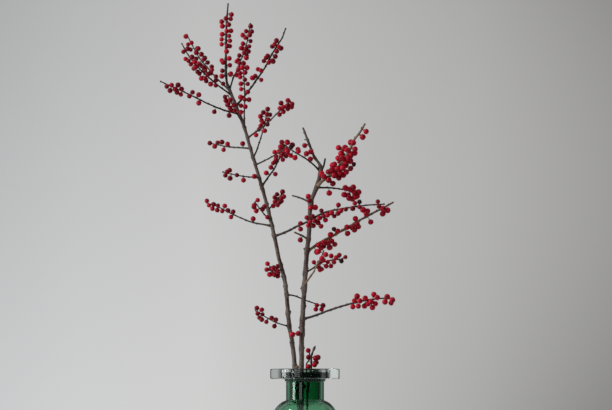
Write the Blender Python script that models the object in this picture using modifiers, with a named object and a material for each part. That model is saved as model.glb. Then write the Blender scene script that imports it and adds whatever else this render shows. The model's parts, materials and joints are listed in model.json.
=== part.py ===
"""Winterberry branches standing in a green glass bottle vase.

Two tall cut stems and a short sprig lean in the mouth of the vase. Side shoots leave the stems, and each carries its
drupes on short pedicels. Every stem, every stretch of new growth past a stem's fork (a leader) and every side shoot
is one object, cut to the surface of the wood that bears it. The shoots' and stems' routes are in millimetres, with
the origin at the middle of the vase's flat foot, X to the right, Y to the back and Z up.
"""

import math
import random
from dataclasses import dataclass

import bmesh
import bpy
from mathutils import Matrix, Vector
from mathutils.kdtree import KDTree

MM = 0.001
GAP = 0.3 * MM  # what two touching pieces keep between them

# Vase, in millimetres
VASE_HEIGHT = 240.0
FLANGE_RADIUS = 51.0
FLANGE_THICKNESS = 15.0
NECK_RADIUS = 28.0
BORE_RADIUS = 23.7
NECK_FOOT = 194.0  # height at which the neck opens into the shoulder
BODY_RADIUS = 52.0
WALL = 4.0
FLOOR = 8.0
FOOT_RADIUS = 40.0  # flat part of the underside
TURNS = 32  # facets round the vase

# Wood and fruit, in millimetres
ROUTE_STEP = 18.0  # one ring of the tube for each stretch of this length
FRUIT_STEP = 3.0  # how finely a route is read where drupes stand on it
THICK = 1.8  # wood thicker than this at its base has eight sides, and the rest four
DRUPE_RADII = {"left": 3.75, "right": 4.15, "sprig": 3.9}  # by the branch that bears the drupe
REACH = 11.0  # how far apart two middles can be where they may be too close
DRUPE_SPREAD = 0.35  # how much a drupe's radius varies either way
PEDICELS = {"left": 1.2, "right": 2.0, "sprig": 1.6}  # bark to skin, by branch
PEDICEL_SPREAD = 0.6
PEDICEL_RADIUS = 0.55
DROOP = 0.18  # how far a drupe's weight turns its pedicel down
FORWARD = 0.22  # how far a pedicel leans towards the shoot's tip
CLEAR = 0.35  # least distance between two drupes, and from a drupe to any wood
SETTLING = 40  # rounds in which drupes that are too close push each other away
FACE_DOWN = Matrix.Rotation(math.radians(37.3774), 4, "Y")  # turns an icosphere from a corner to a face below

GLASS_GREEN = (0.05, 0.30, 0.14)
BARK_GREY = (0.23, 0.18, 0.15)
TWIG_BROWN = (0.17, 0.11, 0.09)
TWIG_TAN = (0.36, 0.24, 0.15)


@dataclass
class Wood:
    """A stem, leader or side shoot.

    route is where its pith runs, radii its thickness at the base and the tip, fruit the places of its drupes as
    DISTANCE:HOUR. The distance is in millimetres along the route. The hour is read on a clock round the wood: 12 is
    the upper side (the left one on upright wood), 3 the front, 6 the lower side and 9 the back. HOUR+5 is a drupe
    whose pedicel is 5 mm longer than most, and HOUR+-1 one whose pedicel is 1 mm shorter.
    """

    name: str
    bearers: tuple
    radii: tuple
    route: list
    fruit: str = ""
    colour: tuple = TWIG_BROWN

    def drupes(self):
        """Returns the (distance, hour, extra length of the pedicel) of each drupe."""
        places = []
        for group in self.fruit.split():
            distance, hours = group.split(":")
            for place in hours.split("/"):
                hour, _, extra = place.partition("+")
                places.append((float(distance), float(hour), float(extra or 0)))
        return places


LEFT = ("left_stem", "left_leader")
RIGHT = ("right_stem", "right_leader")
SPRIG = ("sprig_stem", "sprig_leader")

WOOD = [
    Wood("left_stem", (), (4.1, 2.1), [
        (12, 1, 8.8), (4, 6, 91), (-7, 10, 171), (-15, 13, 242), (-19, 15, 279), (-24, 17, 308), (-29.5, 20, 367),
        (-39, 21, 405), (-46, 20, 439), (-60, 16, 496), (-83, 11, 574), (-91, 10, 602), (-102, 10, 631),
        (-117, 10, 667)], colour=BARK_GREY),
    Wood("left_leader", ("left_stem",), (1.7, 0.9), [
        (-115, 10, 662), (-119, 9, 681), (-119, 5, 734), (-118, 3, 761), (-116, 0, 788)],
        "19:12 22:6 27:11 35:6 39:2 42:12 45:5 56:3 63:4 64:7 67:12 72:6 74:12 79:5 81:12 86:3 87:6 94:12 96:4 "
        "100:11+2.5 105:3/5 112:6"),
    Wood("left_shoot_01", LEFT, (1.0, 0.7), [(-25, 17, 304), (-40, 8, 308), (-55, -2, 315), (-73, -14, 326)],
         "22:6 26:1 34:1.7 37:6 49:6/4 51:3 54:12 55:1 58:11 62:3"),
    Wood("left_shoot_02", LEFT, (1.2, 0.8), [
        (-28, 19, 351), (-16, 27, 350), (1, 37, 343.5), (15, 43, 339), (27, 46, 335)], "52:4 53:6+2.5 62:5 65:3"),
    Wood("left_shoot_03", LEFT, (1.0, 0.7), [(-34, 21, 388), (-43, 8, 388), (-49.5, -8, 384.5)],
        "12:12 14:6 18:2 20:7 22:4/6+3 28:12 30:12+4/1/5 33:2 34:12+1.5/8/4"),
    Wood("left_shoot_04", LEFT, (1.8, 1.0), [
        (-46, 20, 439), (-25, 3, 446), (-12, -12, 452), (1, -34, 456), (22, -46, 467), (35, -55, 471),
        (54, -66, 474), (88, -78, 478), (115, -88, 479)],
        "54:6 70:2.7 78:5 81:1 85:3.7/6+2.5 89:4/6+2.5 91:2 92:6+8 99:6 101:4.5 103:6+1.5 106:5 108:1.5 115:5 "
        "124:4 124:6+2.5 131:6 133:12 141:4 145:4 160:3 161:2 166:3 167:12 196:1 198:4.3"),
    Wood("left_shoot_05", LEFT, (1.4, 0.7), [
        (-52, 18, 455), (-82, 35, 462), (-112, 53, 476), (-134, 66, 488), (-150, 75, 494)],
        "29:1 67:1.5 68:5 76:2 86:4 88:12 96:2 98:6 104:3 106:5 112:4 118:2"),
    Wood("left_shoot_06", LEFT, (1.1, 0.7), [(-53, 18, 465), (-60, 2, 470), (-68, -16, 479), (-74, -32, 486)],
        "16:3 35:12 38:1.5/6 52:6 58:12 61:4.5"),
    Wood("left_shoot_07", LEFT, (1.1, 0.7), [(-56, 17, 478), (-48, 32, 488), (-42, 47, 496), (-36, 63, 506)],
        "9:3 19:2.5 24:5.5 33:5 38:12 40:4 43:11 45:6 50:5 52:12/9 55:3"),
    Wood("left_shoot_08", LEFT, (1.5, 0.8), [
        (-65, 14, 514), (-55, 29, 530), (-47, 44, 543), (-41, 57, 556), (-36, 66, 568), (-31, 72, 581)],
        "29:12 36:6 46:12 56:12 62:2 64:11 72:12 73:3 74:6 77:5 79:12+2 80:2 82:3.5 84:6 88:4 92:11/1"),
    Wood("left_shoot_09", LEFT, (1.1, 0.7), [(-70, 13, 527), (-89, -5, 527), (-104, -22, 528), (-121, -44, 530)],
        "12:2 31:5 50:2.5 57:6+1 67:1 74:3 77:3"),
    Wood("left_shoot_10", LEFT, (1.3, 0.8), [(-75, 12, 546), (-60, -7, 551), (-47, -26, 556), (-32, -50, 563)],
        "75:12 78:5"),
    Wood("left_shoot_11", LEFT, (1.3, 0.7), [
        (-78, 12, 557), (-73, 22, 569), (-68, 34, 586), (-64, 44, 602), (-60, 53, 620), (-57, 57, 636)],
        "53:4 56:12 65:12 67:2 70:4 73:12 76:3.5 80:3 81:12+2 84:2 86:6 92:2.5"),
    Wood("left_shoot_12", LEFT, (1.3, 0.8), [
        (-82, 11, 571), (-104, 26, 574), (-120, 42, 577), (-132, 55, 581), (-143, 66, 584)],
        "13:12 40:2 51:6 63:12 68:3.5 74:11 80:3"),
    Wood("left_shoot_13", LEFT, (1.4, 0.8), [
        (-87, 11, 586), (-75, 0, 594), (-64, -12, 600), (-52, -25, 609), (-42, -36, 618), (-31, -46, 627),
        (-22, -54, 634)], "20:5 77:5 86:5 88:1.5 89:1 90:6 93:3 98:3 101:6 105:5 108:2.7"),
    Wood("left_shoot_14", LEFT, (1.2, 0.7), [
        (-91, 10, 601), (-91, -6, 621), (-90, -20, 646), (-91, -33, 672), (-92, -45, 695)],
        "29:12 38:11 40:3 49:6 51:3 53:12 62:4.5 66:12 73:11/6 82:4 86:12 89:11 94:4 99:12/6 101:2 107:12"),
    Wood("left_shoot_15", LEFT, (1.0, 0.7), [(-95, 10, 612), (-101, 0, 620), (-108, -9, 633), (-115, -18, 647)],
        "25:3.5 31:6 34:3 36:7 38:5 43:3/6 49:5.5"),
    Wood("left_shoot_16", LEFT, (1.4, 0.8), [
        (-99, 10, 623), (-117, -2, 626), (-140, -17, 633), (-168, -34, 645), (-193, -48, 655), (-213, -60, 663)],
        "18:4.5 19:2 41:6+1.3 71:4.5 76:1 88:1.5 90:3 103:5 107:1.5 110:4.5 113:2 117:3 121:5 124:3 127:4"),
    Wood("left_shoot_17", LEFT, (1.7, 1.0), [
        (-104, 10, 635), (-92, 22, 651), (-82, 34, 666), (-68, 47, 688), (-60, 57, 702), (-50, 66, 723),
        (-36, 75, 747), (-30, 80, 763)],
        "61:12 66:6 68:11 76:2 79:12+1 98:4 100:12 104:5 106:12/6 112:11 115:6 122:4 128:12 130:4/2 133:6 137:1.3"),
    Wood("left_shoot_18", LEFT, (1.3, 0.8), [
        (-111, 10, 652), (-125, 3, 661), (-141, -8, 673), (-157, -19, 687), (-173, -30, 705), (-183, -38, 722)],
        "32:4 35:1.5 36:5.3 45:6+1 48:12 51:2/4.5 54:6 58:7 61:12 64:5 70:12 72:6 75:4 81:3 82:5 86:5 87:2 89:6 "
        "102:4.5 103:2"),
    Wood("left_shoot_19", LEFT, (1.2, 0.7), [
        (-115, 10, 660), (-130, 20, 675), (-141, 31, 688), (-150, 42, 700), (-160, 52, 712), (-170, 61, 730),
        (-181, 68, 752)],
        "10:3 28:3 45:2 50:1.5 55:4 58:6 66:5 68:12 72:1 76:6 80:12 84:1.5 86:6 90:2 95:1 101:12 104:6 111:3 "
        "113:6 125:3.5"),
    Wood("left_shoot_20", LEFT, (1.3, 0.7), [
        (-114, 10, 658), (-109, 18, 677), (-103, 28, 692), (-99, 37, 705), (-94, 46, 719), (-89, 54, 737),
        (-86, 59, 754), (-84, 62, 768)],
        "27:12/4 36:3 57:12/6 62:11 68:5 70:12 72:3 74:6 81:4/6 82:1 85:12 90:6 92:11 99:6 101:2 106:12+2.5 "
        "108:4 112:4.5 115:11 119:4"),
    Wood("right_stem", (), (4.3, 3.1), [
        (-8, -6, 8.8), (-7, -11, 99), (-6, -15.5, 179), (-5, -18.6, 242), (-5, -21, 278), (-2, -24, 343),
        (0, -24, 374), (3, -22, 415), (6, -20, 441), (7, -17, 469), (10, -14, 491), (18, -11, 512), (23, -7, 532),
        (23, -5, 543)], colour=BARK_GREY),
    Wood("right_leader", ("right_stem",), (2.6, 1.7), [
        (23, -5.5, 538), (22, -4, 545), (19, -2, 550), (14, 0, 557), (9, 3, 570), (4, 6, 583), (-3, 10, 602)],
        "21:5 29:3.7 44:6", colour=BARK_GREY),
    Wood("right_shoot_01", RIGHT, (0.9, 0.6), [(-4, -22, 292), (-13, -25, 292), (-21, -26, 293)], "7:3 14:3"),
    Wood("right_shoot_02", RIGHT, (1.8, 1.0), [
        (-3, -23, 313), (14, -30, 318), (31, -38, 324), (56, -50, 332), (86, -62, 339), (112, -72, 342),
        (129, -79, 342)],
        "86:3.6 89:2.5 90:3.5 91:12+1 95:2.5 104:6/1.7 107:6 109:6+1.5 112:4 114:5.5+1 115:12 123:2 136:3.6 "
        "140:2.4 143:6 148:3"),
    Wood("right_shoot_03", RIGHT, (1.5, 0.8), [
        (-1, -24, 364), (6, -36, 373), (12, -47, 381), (18, -58, 392), (24, -67, 403), (27, -72, 411)],
        "66:4 75:12/4", colour=TWIG_TAN),
    Wood("right_shoot_04", RIGHT, (1.3, 0.8), [
        (1, -24, 382), (13, -12, 390), (27, 2, 399), (41, 14, 403), (54, 25, 405), (62, 33, 410)],
        "21:3.6 25:12 26:5 28:2 33:5.5 34:2 34:5 42:3.6 53:5 54:3.5 58:3 60:11.5 71:3.5 74:12 80:3"),
    Wood("right_shoot_05", RIGHT, (1.8, 1.1), [
        (3, -22, 413), (20, -12, 426), (41, 0, 438), (62, 12, 451), (92, 27, 469), (121, 40, 485), (133, 45, 492)],
        "14:5.5 19:4 21:5.5 26:3.7 29:6 34:5 38:6+3 40:5 44:6+4.5 44:1.7 57:12 58:2 74:5.5 75:2.3 83:4.3 86:5 "
        "93:3.5 95:1.7 96:5.5 115:12+3/1.7 118:6+2.5 123:12 143:3 144:6 149:5", colour=TWIG_TAN),
    Wood("right_shoot_06", RIGHT, (1.5, 1.2), [(5, -21, 432), (-5, -32, 437), (-16, -44, 441)], "13:6+-1",
         TWIG_TAN),
    Wood("right_shoot_07", RIGHT, (1.4, 1.1), [(9, -15, 486), (-4, -2, 494), (-19, 12, 500)], "13:12"),
    Wood("right_shoot_08", RIGHT, (0.9, 0.7), [(8, -15, 478), (9, -22, 480), (10, -28, 484)],
        "8:6+-1.2 11:3+-1 13:9.7+1"),
    Wood("right_shoot_09", RIGHT, (1.5, 0.9), [
        (17, -11, 510), (38, 5, 511), (55, 20, 510), (64, 30, 509), (75, 42, 506)],
        "23:6+1 48:1.7 62:6 62:2 66:1.7 67:3/5 70:4 72:7 73:3 75:6+1 77:4"),
    Wood("right_shoot_10", RIGHT, (2.4, 1.3), [
        (18, -11, 512), (28, -17, 521), (38, -24, 527), (49, -32, 537), (58, -40, 550), (66, -48, 562),
        (72, -54, 576), (80, -59, 586), (88, -62, 599)],
        "17:12+1 20:2 24:5 24:6+2 33:1.5 37:3.3 37:6+3 38:2 38:8 42:6+3.5 43:12 43:4.5 46:1 47:6+5 50:3 53:10 "
        "55:3.5 55:6+6 57:6 58:8 61:12 61:4.5 61:7+8 63:10 64:12/6+1 66:2.5 69:11+9.5 67:4.3 69:8.5 75:4 77:11 "
        "78:12 79:6 80:1 84:5 89:10 94:3 108:6 117:6", colour=TWIG_TAN),
    Wood("right_shoot_11", RIGHT, (1.4, 0.8), [
        (23, -6, 535), (8, -14, 548), (-5, -13, 557), (-19, -6, 566), (-33, 2, 577)],
        "32:12 42:2 45:6 49:11 53:6 56:4 57:2 60:12 68:2 72:6 73:2"),
    Wood("right_shoot_12", RIGHT, (1.4, 1.4), [(23, -7, 531), (28, -13, 543), (30, -15, 552)]),
    Wood("sprig_stem", (), (2.0, 1.7), [(-3, 34, 8.7), (2, 24, 122), (4, 20, 209)]),
    Wood("sprig_leader", ("sprig_stem",), (1.2, 1.0), [
        (4, 20, 206), (4, 20, 218), (2, 20, 245), (5, 19, 251.7), (7.3, 19, 256), (7, 19, 262), (6.2, 20, 267)],
        "8:1 37:4.5 53:2 62:2.7"),
    Wood("sprig_twig", SPRIG, (1.3, 1.1), [
        (4, 20, 206), (8, 14, 230), (9.7, 11, 245), (9.2, 10, 255), (11.2, 8, 264), (15.5, 6, 275)],
        "40:4.7 43:6.8+2 50:7+5 51:5"),
]


def clear_scene():
    """Removes what the scene holds, so the script can be run again."""
    for thing in list(bpy.data.objects):
        bpy.data.objects.remove(thing, do_unlink=True)
    for group in list(bpy.data.collections):
        bpy.data.collections.remove(group)


def new_collection(name):
    """Makes a collection in the scene."""
    group = bpy.data.collections.new(name)
    bpy.context.scene.collection.children.link(group)
    return group


def finish(name, colour, roughness, transmission=0.0):
    """Makes a plain material in one colour."""
    material = bpy.data.materials.new(name)
    material.use_nodes = True
    shader = material.node_tree.nodes["Principled BSDF"]
    shader.inputs["Base Color"].default_value = (*colour, 1.0)
    shader.inputs["Roughness"].default_value = roughness
    shader.inputs["Metallic"].default_value = 0.0
    shader.inputs["Transmission Weight"].default_value = transmission
    return material


def bend(start, corner, end, steps):
    """Returns the points of a curve that leaves start and meets end along the two sides of the corner."""
    points = []
    for i in range(steps + 1):
        t = i / steps
        points.append(tuple(
            (1 - t) ** 2 * a + 2 * t * (1 - t) * b + t ** 2 * c for a, b, c in zip(start, corner, end)))
    return points


def vase_profile():
    """Returns the vase's section, from the middle of its floor up the inside, over the flange and down outside."""
    inside = BODY_RADIUS - WALL
    under = VASE_HEIGHT - FLANGE_THICKNESS
    profile = [(0.0, FLOOR)]
    profile += bend((inside - 10, FLOOR), (inside, FLOOR), (inside, FLOOR + 12), 3)
    profile += bend((inside, 148), (inside - 2.5, 180.5), (BORE_RADIUS, NECK_FOOT - 3), 6)
    profile += bend((BORE_RADIUS, VASE_HEIGHT - 3), (BORE_RADIUS, VASE_HEIGHT), (BORE_RADIUS + 3, VASE_HEIGHT), 3)
    profile += bend((FLANGE_RADIUS - 2.5, VASE_HEIGHT), (FLANGE_RADIUS, VASE_HEIGHT),
                    (FLANGE_RADIUS, VASE_HEIGHT - 2.5), 3)
    profile += bend((FLANGE_RADIUS, under + 2.5), (FLANGE_RADIUS, under), (FLANGE_RADIUS - 2.5, under), 3)
    profile += bend((NECK_RADIUS + 3, under), (NECK_RADIUS, under), (NECK_RADIUS, under - 3), 3)
    profile += bend((NECK_RADIUS, NECK_FOOT), (BODY_RADIUS - 2, NECK_FOOT - 10), (BODY_RADIUS, 150), 6)
    profile += bend((BODY_RADIUS, 16), (BODY_RADIUS, 0), (FOOT_RADIUS, 0), 4)
    profile.append((0.0, 0.0))
    return profile


def make_vase(group):
    """Turns the vase from its section."""
    mesh = bpy.data.meshes.new("vase")
    points = [(r * MM, 0.0, z * MM) for r, z in vase_profile()]
    mesh.from_pydata(points, [(i, i + 1) for i in range(len(points) - 1)], [])
    vase = bpy.data.objects.new("vase", mesh)
    group.objects.link(vase)
    turn = vase.modifiers.new("turn", "SCREW")
    turn.axis = "Z"
    turn.steps = TURNS
    turn.render_steps = TURNS
    turn.use_merge_vertices = True
    turn.merge_threshold = 0.00001
    turn.use_smooth_shade = True
    vase.data.materials.append(finish("glass", GLASS_GREEN, 0.05, 0.9))


def smooth_route(points, step):
    """Returns points a step apart, in metres, on the smooth curve through the given ones."""
    knots = [Vector(p) for p in points]
    knots = [2 * knots[0] - knots[1]] + knots + [2 * knots[-1] - knots[-2]]
    route = [knots[1] * MM]
    for a, b, c, d in zip(knots, knots[1:], knots[2:], knots[3:]):
        count = max(1, round((c - b).length / step))
        for i in range(1, count + 1):
            t = i / count
            point = 2 * b + (c - a) * t + (2 * a - 5 * b + 4 * c - d) * t ** 2 + (3 * b - a - 3 * c + d) * t ** 3
            route.append(point * MM / 2)
    return route


def place_along(route, distance):
    """Returns the point at a distance along a route, the direction there, and the share of the route's length."""
    total = sum((b - a).length for a, b in zip(route, route[1:]))
    left = min(max(distance, 0.0), total)
    for a, b in zip(route, route[1:]):
        length = (b - a).length
        if left <= length:
            break
        left -= length
    return a.lerp(b, left / length), (b - a).normalized(), min(distance / total, 1.0)


def clock_direction(along, hour):
    """Returns the direction in which an hour points on the clock round wood that runs along a direction."""
    front = Vector((0.0, -1.0, 0.0))
    front = (front - along * front.dot(along)).normalized()
    side = front.cross(along).normalized()
    if side.dot(Vector((-0.3, 0.0, 1.0))) < 0:
        side = -side
    angle = math.tau * hour / 12
    return side * math.cos(angle) + front * math.sin(angle)


def tube_mesh(name, route, radii, extra=0.0):
    """Makes the closed tube round a route, tapering from the first radius to the second.

    With extra, it is that much thicker, and longer at the tip, for cutting what stands on it.
    """
    curve = bpy.data.curves.new(name, "CURVE")
    curve.dimensions = "3D"
    curve.bevel_depth = 1.0
    curve.bevel_resolution = 2 if radii[0] > THICK else 0
    curve.use_fill_caps = True
    points = list(route)
    if extra:
        points.append(points[-1] + (points[-1] - points[-2]).normalized() * extra)
    spline = curve.splines.new("POLY")
    spline.points.add(len(points) - 1)
    for i, point in enumerate(points):
        share = i / (len(points) - 1)
        spline.points[i].co = (*point, 1.0)
        spline.points[i].radius = (radii[0] + (radii[1] - radii[0]) * share) * MM + extra
    carrier = bpy.data.objects.new(name, curve)
    bpy.context.scene.collection.objects.link(carrier)
    bpy.context.view_layer.update()
    mesh = bpy.data.meshes.new_from_object(carrier.evaluated_get(bpy.context.evaluated_depsgraph_get()))
    bpy.data.objects.remove(carrier, do_unlink=True)
    solid = bmesh.new()
    solid.from_mesh(mesh)
    bmesh.ops.remove_doubles(solid, verts=solid.verts, dist=0.00001)
    bmesh.ops.recalc_face_normals(solid, faces=solid.faces)
    solid.to_mesh(mesh)
    solid.free()
    return mesh


@dataclass
class Drupe:
    """A fruit: where its pedicel leaves the pith of its wood, its middle, and its radius, in metres."""

    wood: str
    foot: Vector
    centre: Vector
    radius: float


def hang_drupes(wood):
    """Returns the drupes of one stretch of wood, before they settle against each other."""
    draw = random.Random(wood.name)
    branch = wood.name.split("_")[0]
    route = smooth_route(wood.route, FRUIT_STEP)
    hung = []
    for distance, hour, extra in wood.drupes():
        pith, along, share = place_along(route, distance * MM)
        wood_radius = wood.radii[0] + (wood.radii[1] - wood.radii[0]) * share
        radius = DRUPE_RADII[branch] + draw.uniform(-DRUPE_SPREAD, DRUPE_SPREAD)
        reach = wood_radius + PEDICELS[branch] + extra + draw.uniform(-PEDICEL_SPREAD, PEDICEL_SPREAD) + radius
        way = clock_direction(along, hour + draw.uniform(-0.5, 0.5)) + along * FORWARD
        way = (way.normalized() - Vector((0.0, 0.0, DROOP))).normalized()
        hung.append(Drupe(wood.name, pith, pith + way * reach * MM, radius * MM))
    return hung


def settle_drupes(drupes):
    """Moves drupes apart until none touches another drupe or any wood."""
    rings = []
    for wood in WOOD:
        route = smooth_route(wood.route, FRUIT_STEP)
        for i, point in enumerate(route):
            radius = wood.radii[0] + (wood.radii[1] - wood.radii[0]) * i / (len(route) - 1)
            rings.append((point, radius * MM))
    wood_tree = KDTree(len(rings))
    for i, (point, _) in enumerate(rings):
        wood_tree.insert(point, i)
    wood_tree.balance()
    for _ in range(SETTLING):
        tree = KDTree(len(drupes))
        for i, drupe in enumerate(drupes):
            tree.insert(drupe.centre, i)
        tree.balance()
        moves = [Vector() for _ in drupes]
        for i, drupe in enumerate(drupes):
            for place, j, distance in tree.find_range(drupe.centre, REACH * MM):
                room = distance - drupe.radius - drupes[j].radius - CLEAR * MM
                if j != i and room < 0:
                    moves[i] += (drupe.centre - place).normalized() * -room / 2
            for place, j, distance in wood_tree.find_range(drupe.centre, REACH * MM):
                room = distance - drupe.radius - rings[j][1] - CLEAR * MM
                if room < 0:
                    moves[i] += (drupe.centre - place).normalized() * -room / 2
        for drupe, move in zip(drupes, moves):
            drupe.centre += move


def add_drupes(mesh, drupes):
    """Adds drupes to the mesh of their wood, each with a pedicel drawn out of the face nearest to the wood."""
    solid = bmesh.new()
    solid.from_mesh(mesh)
    for drupe in drupes:
        way = drupe.centre - drupe.foot
        turn = way.to_track_quat("Z", "Y").to_matrix().to_4x4()
        ball = bmesh.ops.create_icosphere(solid, subdivisions=1, radius=drupe.radius,
                                          matrix=Matrix.Translation(drupe.centre) @ turn @ FACE_DOWN)
        faces = {face for corner in ball["verts"] for face in corner.link_faces}
        under = min(faces, key=lambda face: face.calc_center_median().dot(way))
        middle = under.calc_center_median()
        end = bmesh.ops.extrude_discrete_faces(solid, faces=[under])["faces"][0]
        for corner in end.verts:
            corner.co = drupe.foot + (corner.co - middle).normalized() * PEDICEL_RADIUS * MM
    solid.to_mesh(mesh)
    solid.free()


def make_cutter(wood, route, group):
    """Makes the solid that trims what stands on a stem or leader, a gap larger than the wood."""
    cutter = bpy.data.objects.new(wood.name + "_cutter", tube_mesh(wood.name + "_cutter", route, wood.radii, GAP))
    cutter.hide_render = True
    cutter.display_type = "WIRE"
    group.objects.link(cutter)
    return cutter


def make_wood(wood, drupes, group, cutters, cutter_group):
    """Makes a stem, leader or shoot with its drupes, trimmed to what bears it."""
    route = smooth_route(wood.route, ROUTE_STEP)
    mesh = tube_mesh(wood.name, route, wood.radii)
    add_drupes(mesh, drupes)
    mesh.shade_smooth()
    mesh.set_sharp_from_angle(angle=math.radians(40))
    mesh.materials.clear()
    mesh.materials.append(finish(wood.name, wood.colour, 0.7))
    piece = bpy.data.objects.new(wood.name, mesh)
    group.objects.link(piece)
    for bearer in wood.bearers:
        trim = piece.modifiers.new("trim_" + bearer, "BOOLEAN")
        trim.operation = "DIFFERENCE"
        trim.solver = "EXACT"
        trim.use_self = True
        trim.object = cutters[bearer]
    if not wood.bearers or "leader" in wood.name:
        cutters[wood.name] = make_cutter(wood, route, cutter_group)


def main():
    """Makes the vase and everything that stands in it."""
    clear_scene()
    group = new_collection("winterberry_branches_in_vase")
    cutter_group = new_collection("cutters")
    make_vase(group)
    drupes = [drupe for wood in WOOD for drupe in hang_drupes(wood)]
    settle_drupes(drupes)
    cutters = {}
    for wood in WOOD:
        borne = [drupe for drupe in drupes if drupe.wood == wood.name]
        make_wood(wood, borne, group, cutters, cutter_group)


main()
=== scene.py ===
"""Winterberry branches in a green glass bottle vase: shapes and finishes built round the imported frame.

Sizes in the classes are in millimetres and meshes are in metres, in the frame's own axes: X to the right,
Y to the back and Z up, with the origin at the middle of the vase's flat foot. The studio's sizes are in
metres. The routes of the wood, and the way its fruit hangs and settles, follow the solids, so each piece lies
where the frame has its node. Small exceptions are the tip and the drupes of sprig_twig, the thickness of some
wood and the size of the drupes.
"""

import json
import logging
import math
import random
from dataclasses import dataclass, field
from enum import Enum
from typing import Any, Callable, Iterable, Sequence

import bmesh
import bpy
from mathutils import Matrix, Quaternion, Vector, noise
from mathutils.kdtree import KDTree

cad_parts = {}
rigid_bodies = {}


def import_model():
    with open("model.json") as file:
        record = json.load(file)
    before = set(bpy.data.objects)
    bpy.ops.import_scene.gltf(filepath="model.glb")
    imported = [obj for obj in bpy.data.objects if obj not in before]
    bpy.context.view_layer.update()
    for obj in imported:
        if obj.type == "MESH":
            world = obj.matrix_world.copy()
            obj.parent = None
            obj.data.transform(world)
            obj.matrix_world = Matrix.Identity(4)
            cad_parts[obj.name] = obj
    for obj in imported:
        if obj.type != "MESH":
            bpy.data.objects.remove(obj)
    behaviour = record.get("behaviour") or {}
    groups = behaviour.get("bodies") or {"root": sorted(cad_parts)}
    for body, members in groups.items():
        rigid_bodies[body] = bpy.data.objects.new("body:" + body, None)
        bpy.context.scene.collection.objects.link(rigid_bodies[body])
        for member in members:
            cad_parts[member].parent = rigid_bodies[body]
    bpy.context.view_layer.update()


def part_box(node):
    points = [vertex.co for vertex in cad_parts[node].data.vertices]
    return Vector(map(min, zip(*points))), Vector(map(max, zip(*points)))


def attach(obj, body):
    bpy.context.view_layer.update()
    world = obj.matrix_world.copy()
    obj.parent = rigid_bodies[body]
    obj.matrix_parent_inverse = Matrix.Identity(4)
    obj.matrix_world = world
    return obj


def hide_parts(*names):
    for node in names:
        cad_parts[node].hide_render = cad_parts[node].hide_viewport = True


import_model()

log = logging.getLogger("winterberry")

MM = 0.001
UP = Vector((0.0, 0.0, 1.0))
BODY = "root"

Colour = tuple[float, float, float]
Rows = tuple[tuple[float, ...], ...]


class Bark(Enum):
    """The finish that a stretch of wood wears, by the record's slot."""

    STEM = "bark"
    TWIG = "twig"
    PALE = "pale_twig"


# ---- Shader maths ------------------------------------------------------------------------------


def math_node(operation: str, flipped: bool = False) -> Callable[["Wire", "Wire | float"], "Wire"]:
    """Makes a method of Wire that adds a Math node.

    Args:
        operation: The node's operation.
        flipped: Whether the other number comes first.

    Returns:
        The method, which takes the other number.
    """
    def method(self: "Wire", other: "Wire | float") -> "Wire":
        """Returns the operation's result for this and another number."""
        left, right = (other, self) if flipped else (self, other)
        return self.sheet.node("ShaderNodeMath", {"operation": operation}, {0: left, 1: right})
    return method


class Wire:
    """An output socket, with the arithmetic that the finishes use."""

    __add__ = __radd__ = math_node("ADD")
    __mul__ = __rmul__ = math_node("MULTIPLY")
    __sub__ = math_node("SUBTRACT")
    __rsub__ = math_node("SUBTRACT", flipped=True)
    __pow__ = math_node("POWER")
    at_least = math_node("MAXIMUM")
    at_most = math_node("MINIMUM")

    def __init__(self, sheet: "Sheet", socket: bpy.types.NodeSocket) -> None:
        """Keeps the socket and the sheet that its node is on."""
        self.sheet = sheet
        self.socket = socket

    def sine(self) -> "Wire":
        """Returns the sine of an angle in radians."""
        return self.sheet.node("ShaderNodeMath", {"operation": "SINE"}, {0: self})

    def step(self, low: float, high: float) -> "Wire":
        """Returns a smooth rise from 0 at low to 1 at high, or a fall where high is the smaller.

        Args:
            low: The value at which the result is 0.
            high: The value at which the result is 1.

        Returns:
            The risen value.
        """
        return self.sheet.node(
            "ShaderNodeMapRange", {"interpolation_type": "SMOOTHSTEP"},
            {"Value": self, "From Min": low, "From Max": high})


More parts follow.
